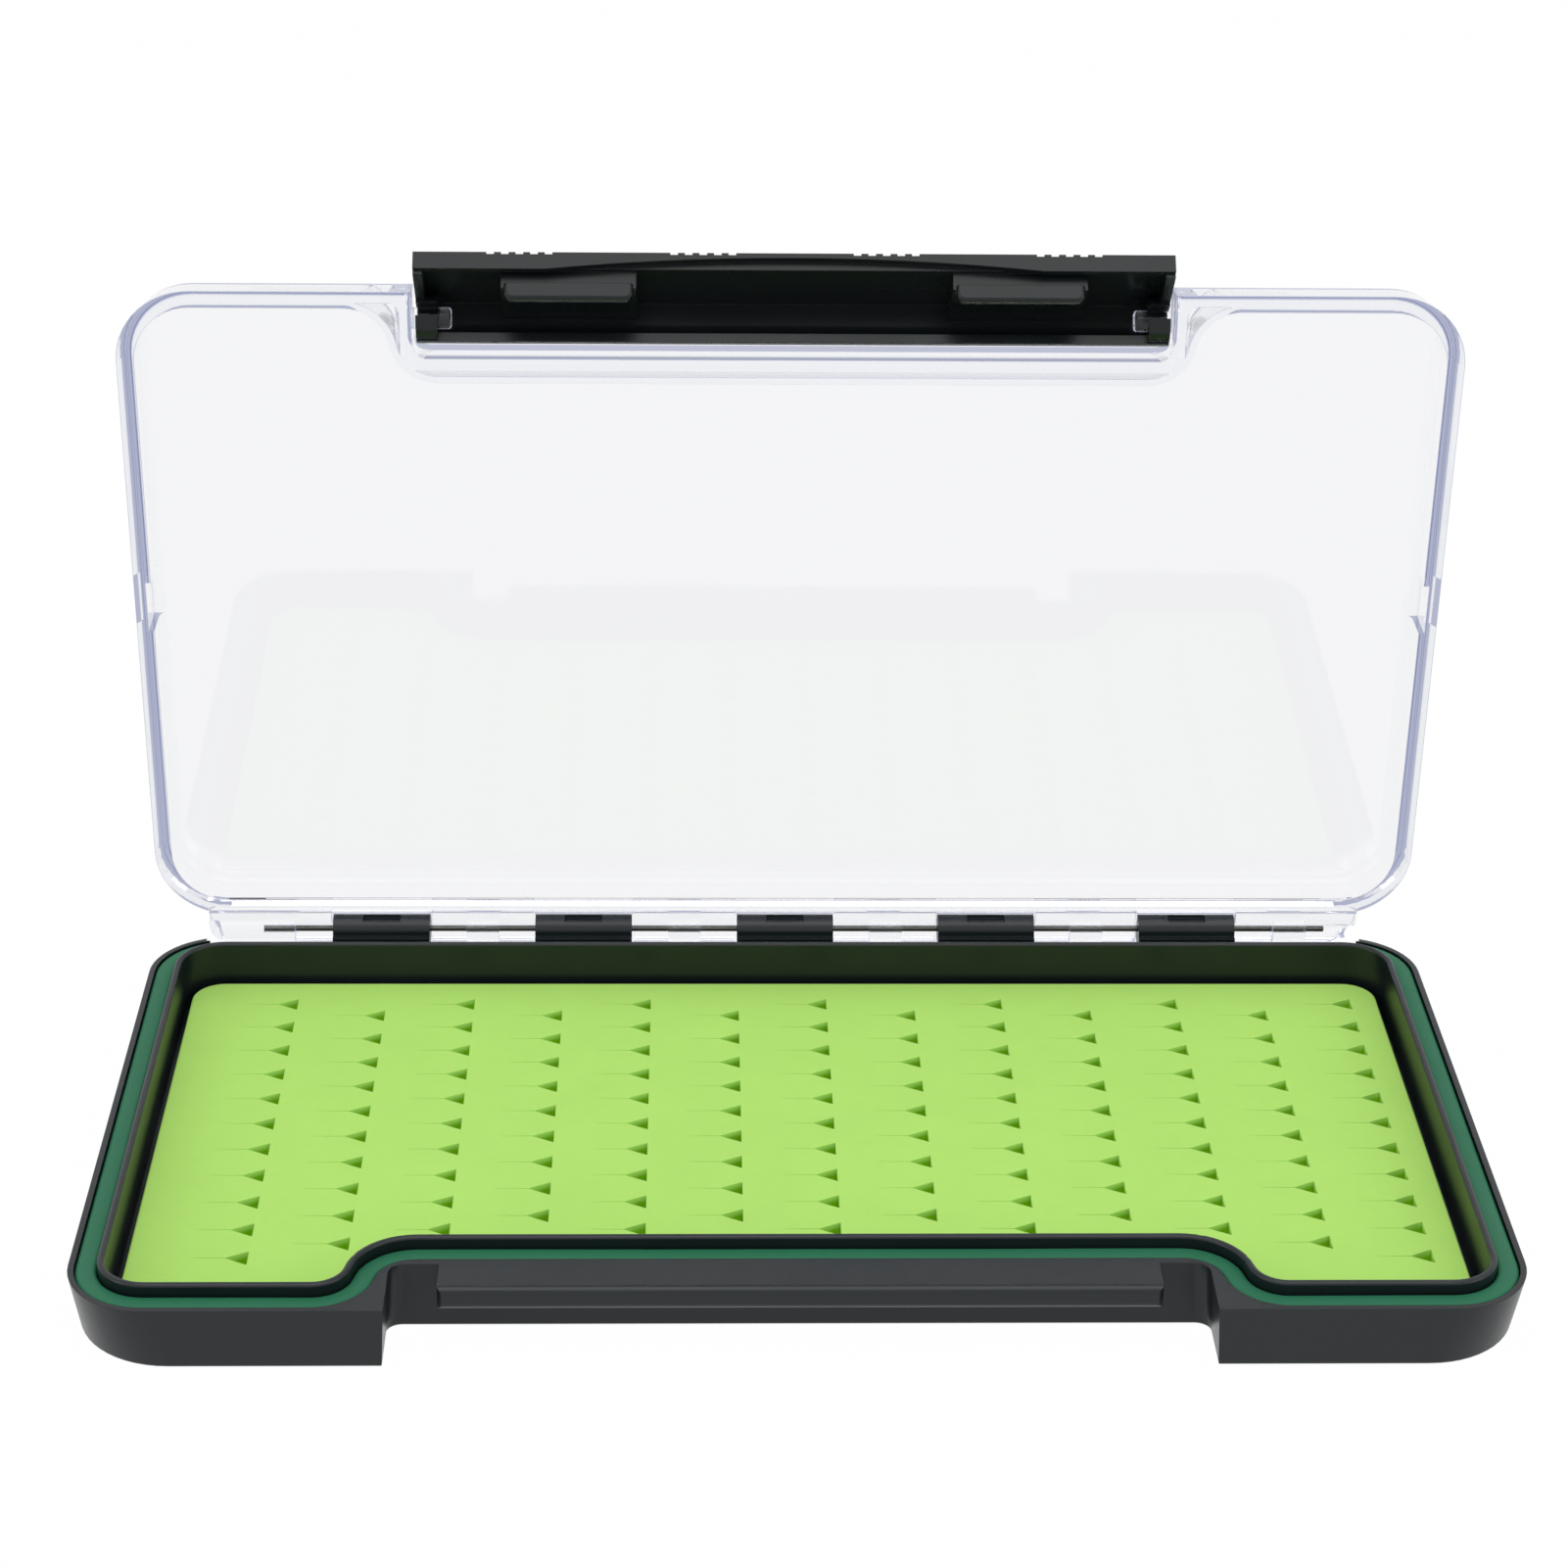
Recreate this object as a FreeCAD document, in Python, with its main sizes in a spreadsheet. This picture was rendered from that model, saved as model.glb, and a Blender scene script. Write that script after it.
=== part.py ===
import FreeCAD, Part

import math
import os

import Sketcher

# Fly box, shown open: a dark tray with a rubber seal and a slit silicone insert, a clear
# lid on a steel hinge pin, and a full width latch that clips on two studs of the lid.
# Millimetres. X runs along the box, Y from the latch to the hinge, Z up, and the origin
# is the middle of the underside.

# Driving sizes: name, value, what it is

SIZES = [
    ("box_length", 188.0, "outside length of tray and lid"),
    ("box_depth", 99.6, "outside depth of tray and lid"),
    ("corner_radius", 10.6, "outside corners in plan"),
    ("rim_height", 8.6, "top of the tray's outer wall"),
    ("floor_thickness", 1.2, "floor of the tray"),
    ("rim_wall", 0.8, "outer wall beside the seal"),
    ("seal_channel", 3.0, "width of the channel for the seal"),
    ("channel_depth", 2.4, "depth of that channel"),
    ("inner_wall", 1.0, "wall between seal and tray"),
    ("inner_rise", 1.4, "inner wall above the outer wall"),
    ("inner_round", 0.42, "top edges of the inner wall"),
    ("end_slope", 0.8, "ends of the tray slope in, down to the underside"),
    ("front_slope", 0.1, "front and rear of the tray slope in the same way"),
    ("recess_slope", 1.3, "back of the latch recess slopes out, down to the underside"),
    ("recess_side_slope", 0.4, "ends of the latch recess slope in the same way"),
    ("foot_corner", 12.8, "corners of the underside in plan"),
    ("rear_notch_depth", 0.8, "outer wall lowered at the rear for the lid's rail"),
    ("foot_radius", 0.4, "edges round the underside"),
    ("seal_setback", 11.0, "seal behind its front run, at the latch"),
    ("seal_bend", 6.5, "bend radius of the seal's middle line"),
    ("seal_bend_gap", 9.5, "front bends of the seal, beside the latch recess"),
    ("recess_length", 105.8, "latch recess along the front"),
    ("recess_depth", 10.7, "latch recess in the tray"),
    ("recess_corner", 2.0, "inner corners of the recess"),
    ("bar_end_gap", 6.4, "pocket at each end of the catch bar"),
    ("bar_setback", 4.75, "catch bar behind the front"),
    ("bar_height", 3.25, "height of the catch bar"),
    ("bar_root", 0.6, "part of the bar inside the wall"),
    ("bar_corner", 1.0, "upright front corners of the bar"),
    ("hinge_behind", 2.5, "hinge line behind the box"),
    ("hinge_rise", 0.15, "hinge line above the rim"),
    ("knuckle_radius", 2.3, "tray knuckles"),
    ("knuckle_width", 14.5, "tray knuckles"),
    ("knuckle_inset", 33.3, "middle of the first knuckle, in from the box's end"),
    ("knuckle_root", 0.6, "part of a knuckle inside the wall"),
    ("knuckle_slot_width", 5.6, "slot on top of a knuckle"),
    ("knuckle_slot_depth", 0.5, "slot on top of a knuckle"),
    ("knuckle_slot_length", 1.4, "slot on top of a knuckle"),
    ("pin_radius", 0.45, "steel hinge pin"),
    ("pin_left_inset", 15.6, "left end of the pin, in from the box's end"),
    ("pin_right_inset", 12.2, "right end of the pin, in from the box's end"),
    ("pin_chamfer", 0.12, "ends of the pin"),
    ("pin_fit", 0.04, "gap round the pin in its bores"),
    ("seal_side_gap", 0.08, "gap each side of the seal"),
    ("seal_drop", 0.12, "seal under the rim"),
    ("seal_round", 0.5, "top edges of the seal"),
    ("insert_gap", 1.2, "gap round the insert"),
    ("insert_thickness", 2.8, "silicone insert"),
    ("slit_depth", 1.9, "slits in the insert"),
    ("slit_width", 0.15, "closed slit"),
    ("slit_length", 5.2, "closed slit, left of its wedge"),
    ("wedge_length", 2.9, "wedge at the end of each slit"),
    ("wedge_width", 3.2, "wedge at its wide end"),
    ("slit_left_margin", 7.7, "slits to the insert's left edge"),
    ("slit_right_margin", 4.0, "slits to the insert's right edge"),
    ("slit_rear_margin", 6.4, "first row to the insert's rear edge"),
    ("slit_front_margin", 2.2, "last row to the insert's front edge"),
    ("lid_gap", 0.15, "lid above the rim when closed"),
    ("closed_height", 16.0, "closed box, bottom to top"),
    ("lid_plate", 1.3, "top plate of the lid"),
    ("lid_wall", 1.7, "side walls of the lid"),
    ("lid_edge_round", 2.0, "top edges of the lid"),
    ("lid_slope", 10.0, "walls of the lid off upright, in degrees"),
    ("lid_inner_round", 0.8, "lid's hollow, round the inside of the plate"),
    ("lid_recess_depth", 9.9, "latch recess in the lid"),
    ("lid_recess_corner", 2.0, "inner corners of that recess"),
    ("lid_inner_corner", 1.5, "corners of the lid's hollow at the recess"),
    ("seal_rib", 0.8, "rib of the lid that meets the seal"),
    ("rib_gap_length", 7.6, "gap in the rib at each side"),
    ("rib_gap_place", -1.5, "middle of that gap"),
    ("lid_knuckle_radius", 2.0, "clear knuckles"),
    ("lid_knuckle_gap", 0.25, "clear knuckle to tray knuckle"),
    ("lid_barrel_width", 4.9, "closed middle of a clear knuckle"),
    ("lid_trough_radius", 1.0, "open trough of a clear knuckle"),
    ("lid_rail_inset", 7.5, "outermost clear knuckles, in from the box's end"),
    ("lid_rail_corner", 4.2, "rounded ends of the row of clear knuckles, in plan"),
    ("barrel_left_inset", 20.3, "inner end of the left end barrel, from the same end"),
    ("barrel_right_inset", 20.1, "inner end of the right end barrel, from the same end"),
    ("stud_radius", 1.5, "pivot studs of the lid"),
    ("stud_length", 5.3, "pivot studs, out of the wall"),
    ("stud_root", 0.8, "part of a stud inside the wall"),
    ("stud_round", 0.4, "ends of the studs"),
    ("pivot_behind", 5.3, "latch pivot behind the front"),
    ("pivot_below", 3.5, "latch pivot under the top"),
    ("latch_side_gap", 0.5, "latch to the sides of its recess"),
    ("latch_back_radius", 3.5, "round back of the latch"),
    ("latch_shell", 1.4, "wall of the round back"),
    ("latch_plate", 2.0, "front plate of the latch"),
    ("latch_top_round", 2.4, "front top edge of the latch"),
    ("latch_bottom", 2.3, "lower edge of the latch when closed"),
    ("lip_thickness", 2.5, "lip along that edge"),
    ("lip_height", 1.2, "lip along that edge"),
    ("lip_scoop_depth", 1.8, "finger scoop in the lip"),
    ("lip_scoop_radius", 327.0, "finger scoop in the lip, in plan"),
    ("latch_end_wall", 1.3, "end walls of the latch"),
    ("end_wall_foot", 0.6, "foot of an end wall behind the lip"),
    ("end_wall_gap", 0.4, "end wall to the mouth of a clip"),
    ("clip_width", 3.0, "clips on the studs"),
    ("clip_radius", 3.3, "clips on the studs"),
    ("clip_fit", 0.05, "gap round a stud in its clip"),
    ("clip_mouth", 2.0, "mouth of a clip"),
    ("hook_inset", 15.4, "middle of each hook, in from the bar's end"),
    ("hook_width", 17.7, "width of each hook"),
    ("hook_gap", 0.2, "hook under the catch bar"),
    ("hook_grip", 1.6, "hook behind the bar's face"),
    ("hook_thickness", 1.6, "thickness of each hook"),
    ("hook_round", 0.5, "edges of the hook's tip"),
    ("hook_corner", 1.2, "corners of the hook's tip"),
    ("hook_pad_width", 18.6, "raised pad over each hook"),
    ("hook_pad_drop", 1.0, "raised pad under the grip of its hook"),
    ("hook_pad_rise", 2.5, "raised pad over each hook"),
    ("hook_slot_width", 13.0, "slot through the plate over each hook"),
    ("hook_slot_height", 0.45, "slot through the plate over each hook"),
    ("grip_pitch", 25.2, "groups of grip ribs"),
    ("grip_groove", 1.05, "groove between grip ribs"),
    ("grip_rib", 0.95, "grip rib"),
    ("grip_depth", 0.3, "grip grooves"),
    ("grip_height", 4.6, "grip grooves"),
    ("cut_over", 1.0, "overrun of cuts"),
]
KNUCKLES = 5
GRIP_GROUPS = 4
GRIP_GROOVES = 5
SLIT_COLUMNS = 13
SLIT_ROWS = 11

# Pose: how far the lid is open, and how far the latch is swung out from its closed place

LID_OPEN = 87.0
LATCH_OPEN = 46.0

doc = FreeCAD.newDocument("fly_box")
sheet = doc.addObject("Spreadsheet::Sheet", "Sizes")


class Size:
    """A length that carries its value and its expression in the sheet."""

    def __init__(self, value, text):
        self.value = value
        self.text = text

    def __add__(self, other):
        other = as_size(other)
        return Size(self.value + other.value, f"({self.text} + {other.text})")

    def __sub__(self, other):
        other = as_size(other)
        return Size(self.value - other.value, f"({self.text} - {other.text})")

    def __mul__(self, factor):
        return Size(self.value * factor, f"({self.text} * {factor})")

    def __truediv__(self, factor):
        return Size(self.value / factor, f"({self.text} / {factor})")

    def __neg__(self):
        return Size(-self.value, f"(0 - {self.text})")


def as_size(value):
    """A number becomes a size, and a size stays one."""
    return value if isinstance(value, Size) else Size(value, f"{value}")


def fill_sheet():
    """Write every size to the sheet and give back the named sizes."""
    named = {}
    for row, (alias, value, meaning) in enumerate(SIZES, start=1):
        sheet.set(f"A{row}", meaning)
        sheet.set(f"B{row}", f"{value}")
        sheet.setAlias(f"B{row}", alias)
        named[alias] = Size(value, f"Sizes.{alias}")
    doc.recompute()
    return named


d = fill_sheet()
ZERO = Size(0.0, "0")
X_AXIS = FreeCAD.Vector(1, 0, 0)

# Places that several pieces share

half_length = d["box_length"] / 2
half_depth = d["box_depth"] / 2
recess_half = d["recess_length"] / 2
seal_middle = d["rim_wall"] + d["seal_channel"] / 2
channel_inside = d["rim_wall"] + d["seal_channel"]
tray_inside = channel_inside + d["inner_wall"]
inner_top = d["rim_height"] + d["inner_rise"]
hinge_y = half_depth + d["hinge_behind"]
hinge_z = d["rim_height"] + d["hinge_rise"]
lid_bottom = d["rim_height"] + d["lid_gap"]
pivot_y = d["pivot_behind"] - half_depth
pivot_z = d["closed_height"] - d["pivot_below"]
bar_half = recess_half - d["bar_end_gap"]
seal_bend_place = recess_half + d["seal_bend_gap"]
first_knuckle = d["knuckle_inset"] - half_length
knuckle_pitch = first_knuckle / (-(KNUCKLES - 1) / 2)
pin_start = d["pin_left_inset"] - half_length
pin_end = half_length - d["pin_right_inset"]


# Helpers for bodies, sketches and features

def new_body(label):
    """An empty body with its label."""
    body = doc.addObject("PartDesign::Body", label)
    body.Label = label
    return body


def plane_of(body, role):
    """One of the body's own origin planes or axes."""
    for feature in body.Origin.OriginFeatures:
        if feature.Role == role:
            return feature
    raise ValueError(role)


def new_sketch(body, name, role="XY_Plane", offset=ZERO):
    """A sketch on an origin plane, moved along the plane's normal."""
    sketch = body.newObject("Sketcher::SketchObject", name)
    sketch.AttachmentSupport = (plane_of(body, role), [""])
    sketch.MapMode = "FlatFace"
    sketch.AttachmentOffset = FreeCAD.Placement(
        FreeCAD.Vector(0, 0, offset.value), FreeCAD.Rotation()
    )
    sketch.setExpression("AttachmentOffset.Base.z", offset.text)
    return sketch


def hold(sketch, kind, *parts):
    """Add a constraint; a size at the end is bound to the sheet."""
    if isinstance(parts[-1], Size):
        size = parts[-1]
        place = sketch.addConstraint(Sketcher.Constraint(kind, *parts[:-1], size.value))
        sketch.setExpression(f"Constraints[{place}]", size.text)
        return
    sketch.addConstraint(Sketcher.Constraint(kind, *parts))


def vector(x, y):
    """A point of a sketch."""
    return FreeCAD.Vector(x, y, 0)


def add_line(sketch, start, end):
    """A line from two points."""
    return sketch.addGeometry(Part.LineSegment(vector(*start), vector(*end)))


def add_arc(sketch, centre, radius, start, end):
    """An arc, counter clockwise, angles in degrees."""
    circle = Part.Circle(vector(*centre), FreeCAD.Vector(0, 0, 1), radius)
    arc = Part.ArcOfCircle(circle, math.radians(start), math.radians(end))
    return sketch.addGeometry(arc)


def corner_ring(sketch, corners):
    """A closed ring of level and upright lines. Corners are (x, y, radius)."""
    count = len(corners)
    points = [(x.value, y.value) for x, y, _ in corners]
    radii = [radius.value for _, _, radius in corners]

    def toward(index, other):
        (ax, ay), (bx, by) = points[index], points[other % count]
        span = math.hypot(bx - ax, by - ay)
        return (bx - ax) / span, (by - ay) / span

    leave = []
    enter = []
    for i, ((px, py), radius) in enumerate(zip(points, radii)):
        bx, by = toward(i, i - 1)
        fx, fy = toward(i, i + 1)
        enter.append((px + bx * radius, py + by * radius))
        leave.append((px + fx * radius, py + fy * radius))
    lines = []
    for i in range(count):
        after = (i + 1) % count
        line = add_line(sketch, leave[i], enter[after])
        level = abs(points[i][1] - points[after][1]) < abs(points[i][0] - points[after][0])
        hold(sketch, "Horizontal" if level else "Vertical", line)
        if level:
            hold(sketch, "DistanceY", line, 1, corners[i][1])
        else:
            hold(sketch, "DistanceX", line, 1, corners[i][0])
        lines.append(line)
    for i, (corner, radius) in enumerate(zip(corners, radii)):
        before = lines[i - 1]
        if radius == 0:
            hold(sketch, "Coincident", before, 2, lines[i], 1)
            continue
        bx, by = toward(i, i - 1)
        fx, fy = toward(i, i + 1)
        px, py = points[i]
        centre = (px + (bx + fx) * radius, py + (by + fy) * radius)
        angle_in = math.degrees(math.atan2(enter[i][1] - centre[1], enter[i][0] - centre[0]))
        angle_out = math.degrees(math.atan2(leave[i][1] - centre[1], leave[i][0] - centre[0]))
        convex = (angle_out - angle_in) % 360 < 180
        first, last = (angle_in, angle_out) if convex else (angle_out, angle_in)
        if last < first:
            last += 360
        arc = add_arc(sketch, centre, radius, first, last)
        ends = (1, 2) if convex else (2, 1)
        hold(sketch, "Tangent", before, 2, arc, ends[0])
        hold(sketch, "Tangent", arc, ends[1], lines[i], 1)
        hold(sketch, "Radius", arc, corner[2])


def rectangle(sketch, left, right, front, back):
    """A plain rectangle."""
    corner_ring(sketch, [
        (left, front, ZERO), (right, front, ZERO), (right, back, ZERO), (left, back, ZERO),
    ])


def recessed_ring(sketch, side, end, corner, recess, back, inner_corner, mouth_corner=ZERO):
    """A rounded rectangle in plan, side and end from the middle, with a recess in front."""
    corner_ring(sketch, [
        (side, end, corner), (-side, end, corner), (-side, -end, corner),
        (-recess, -end, mouth_corner), (-recess, back, inner_corner),
        (recess, back, inner_corner), (recess, -end, mouth_corner), (side, -end, corner),
    ])


def seal_ring(sketch, inset):
    """A ring parallel to the seal, inset from the outside of the box."""
    side = half_length - inset
    end = half_depth - inset
    corner = d["corner_radius"] - inset
    outward = seal_middle - inset
    wide = d["seal_bend"] + outward
    tight = d["seal_bend"] - outward
    place = seal_bend_place
    notch = d["seal_setback"] - end
    x, y, r = side.value, end.value, corner.value
    both = wide.value + tight.value
    sweep = math.degrees(math.acos(1 - d["seal_setback"].value / both))
    far = place.value
    near = far - both * math.sin(math.radians(sweep))
    low = wide.value - y
    high = notch.value - tight.value
    a = [
        add_arc(sketch, (x - r, y - r), r, 0, 90),
        add_arc(sketch, (r - x, y - r), r, 90, 180),
        add_arc(sketch, (r - x, r - y), r, 180, 270),
        add_arc(sketch, (-far, low), wide.value, 270, 270 + sweep),
        add_arc(sketch, (-near, high), tight.value, 90, 90 + sweep),
        add_arc(sketch, (near, high), tight.value, 90 - sweep, 90),
        add_arc(sketch, (far, low), wide.value, 270 - sweep, 270),
        add_arc(sketch, (x - r, r - y), r, 270, 360),
    ]
    n = [
        add_line(sketch, (x - r, y), (r - x, y)),
        add_line(sketch, (-x, y - r), (-x, r - y)),
        add_line(sketch, (r - x, -y), (-far, -y)),
        add_line(sketch, (-near, notch.value), (near, notch.value)),
        add_line(sketch, (far, -y), (x - r, -y)),
        add_line(sketch, (x, r - y), (x, y - r)),
    ]
    joints = [
        (a[0], 2, n[0], 1), (n[0], 2, a[1], 1), (a[1], 2, n[1], 1), (n[1], 2, a[2], 1),
        (a[2], 2, n[2], 1), (n[2], 2, a[3], 1), (a[3], 2, a[4], 2), (a[4], 1, n[3], 1),
        (n[3], 2, a[5], 2), (a[5], 1, a[6], 1), (a[6], 2, n[4], 1), (n[4], 2, a[7], 1),
        (a[7], 2, n[5], 1), (n[5], 2, a[0], 1),
    ]
    for joint in joints:
        hold(sketch, "Tangent", *joint)
    for line, height in ((n[0], end), (n[2], -end), (n[3], notch), (n[4], -end)):
        hold(sketch, "Horizontal", line)
        hold(sketch, "DistanceY", line, 1, height)
    for line, place_x in ((n[1], -side), (n[5], side)):
        hold(sketch, "Vertical", line)
        hold(sketch, "DistanceX", line, 1, place_x)
    for arc in (a[0], a[1], a[2], a[7]):
        hold(sketch, "Radius", arc, corner)
    for arc, radius in ((a[3], wide), (a[6], wide), (a[4], tight), (a[5], tight)):
        hold(sketch, "Radius", arc, radius)
    hold(sketch, "DistanceX", a[3], 3, -place)
    hold(sketch, "DistanceX", a[6], 3, place)


def polygon(sketch, points):
    """A closed ring of straight lines through points (x, y)."""
    count = len(points)
    lines = []
    for i, (x, y) in enumerate(points):
        after = points[(i + 1) % count]
        line = add_line(sketch, (x.value, y.value), (after[0].value, after[1].value))
        hold(sketch, "DistanceX", line, 1, x)
        hold(sketch, "DistanceY", line, 1, y)
        lines.append(line)
    for i, line in enumerate(lines):
        hold(sketch, "Coincident", line, 2, lines[(i + 1) % count], 1)


def corner_cut(sketch, x, y, radius, over):
    """The piece outside a rounded corner at (x, y), which reaches over both its sides."""
    px, py, r, far = x.value, y.value, radius.value, over.value
    arc = add_arc(sketch, (px - r, py - r), r, 0, 90)
    side = add_line(sketch, (px - r, py), (px - r, py + far))
    back = add_line(sketch, (px - r, py + far), (px + far, py + far))
    end = add_line(sketch, (px + far, py + far), (px + far, py - r))
    front = add_line(sketch, (px + far, py - r), (px, py - r))
    hold(sketch, "Coincident", arc, 2, side, 1)
    hold(sketch, "Coincident", side, 2, back, 1)
    hold(sketch, "Coincident", back, 2, end, 1)
    hold(sketch, "Coincident", end, 2, front, 1)
    hold(sketch, "Coincident", front, 2, arc, 1)
    hold(sketch, "Vertical", side)
    hold(sketch, "Horizontal", back)
    hold(sketch, "Vertical", end)
    hold(sketch, "Horizontal", front)
    hold(sketch, "Radius", arc, radius)
    hold(sketch, "DistanceX", arc, 3, x - radius)
    hold(sketch, "DistanceY", arc, 3, y - radius)
    hold(sketch, "DistanceY", front, 1, y - radius)
    hold(sketch, "DistanceX", side, 1, x - radius)
    hold(sketch, "DistanceX", end, 1, x + over)
    hold(sketch, "DistanceY", back, 1, y + over)


def circle_ring(sketch, x, y, radius):
    """A circle."""
    shape = Part.Circle(vector(x.value, y.value), FreeCAD.Vector(0, 0, 1), radius.value)
    circle = sketch.addGeometry(shape)
    hold(sketch, "DistanceX", circle, 3, x)
    hold(sketch, "DistanceY", circle, 3, y)
    hold(sketch, "Radius", circle, radius)


def pad(body, name, sketch, length, middle=False, reverse=False):
    """A pad from a sketch."""
    feature = body.newObject("PartDesign::Pad", name)
    feature.Profile = sketch
    feature.Length = length.value
    feature.setExpression("Length", length.text)
    feature.Midplane = middle
    feature.Reversed = reverse
    doc.recompute()
    return feature


def loft(body, name, outlines):
    """A block with sloping walls through outlines, the lowest first."""
    feature = body.newObject("PartDesign::AdditiveLoft", name)
    feature.Profile = outlines[0]
    feature.Sections = outlines[1:]
    feature.Ruled = True
    doc.recompute()
    return feature


def pocket(body, name, sketch, length, middle=False, reverse=False):
    """A pocket from a sketch, which has to take something away."""
    before = body.Shape.Volume
    feature = body.newObject("PartDesign::Pocket", name)
    feature.Profile = sketch
    feature.Length = length.value
    feature.setExpression("Length", length.text)
    feature.Midplane = middle
    feature.Reversed = reverse
    doc.recompute()
    if body.Shape.Volume >= before:
        raise RuntimeError(f"{name} cuts nothing")
    return feature


def taper(feature, angle):
    """Lean the walls of a pad or pocket inward by an angle in degrees."""
    feature.TaperAngle = -angle.value
    feature.setExpression("TaperAngle", f"-{angle.text}")
    doc.recompute()


def row_of(body, name, originals, role, span, count):
    """Copies of features in a straight row."""
    pattern = body.newObject("PartDesign::LinearPattern", name)
    pattern.Originals = originals
    pattern.Direction = (plane_of(body, role), [""])
    pattern.Length = span.value
    pattern.setExpression("Length", span.text)
    pattern.Occurrences = count
    body.Tip = pattern
    doc.recompute()
    return pattern


def mirror_of(body, name, originals):
    """The same features on the other side of the middle."""
    mirrored = body.newObject("PartDesign::Mirrored", name)
    mirrored.Originals = originals
    mirrored.MirrorPlane = (plane_of(body, "YZ_Plane"), [""])
    body.Tip = mirrored
    doc.recompute()
    return mirrored


def edges_where(shape, test):
    """Names of the edges whose box passes the test."""
    names = []
    for number, edge in enumerate(shape.Edges, start=1):
        if test(edge.BoundBox):
            names.append(f"Edge{number}")
    return names


def fillet(body, name, test, radius):
    """Round the edges that pass the test."""
    base = body.Tip
    feature = body.newObject("PartDesign::Fillet", name)
    feature.Base = (base, edges_where(base.Shape, test))
    feature.Radius = radius.value
    feature.setExpression("Radius", radius.text)
    doc.recompute()
    return feature


def at_height(level):
    """A test for edges that lie flat at one height."""
    near = 1e-4

    def test(box):
        return abs(box.ZMin - level.value) < near and abs(box.ZMax - level.value) < near

    return test


def across(level):
    """A test for edges that lie square to the box's length, this far from its middle."""
    near = 1e-4

    def test(box):
        ends = abs(box.XMin), abs(box.XMax)
        return all(abs(end - level.value) < near for end in ends)

    return test


def at_reach(level):
    """A test for edges that run straight along the box at one depth."""
    near = 1e-4

    def test(box):
        flat = abs(box.YMin - level.value) < near and abs(box.YMax - level.value) < near
        return flat and box.ZMax - box.ZMin < near

    return test


def upright_at(place_x, place_y):
    """A test for upright edges at one depth, this far from the middle either way."""
    near = 1e-4

    def test(box):
        ends = abs(box.XMin), abs(box.XMax)
        beside = all(abs(end - place_x.value) < near for end in ends)
        return beside and all(abs(y - place_y.value) < near for y in (box.YMin, box.YMax))

    return test


# Tray: rim with the seal channel, inner wall, catch bar and hinge knuckles

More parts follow.
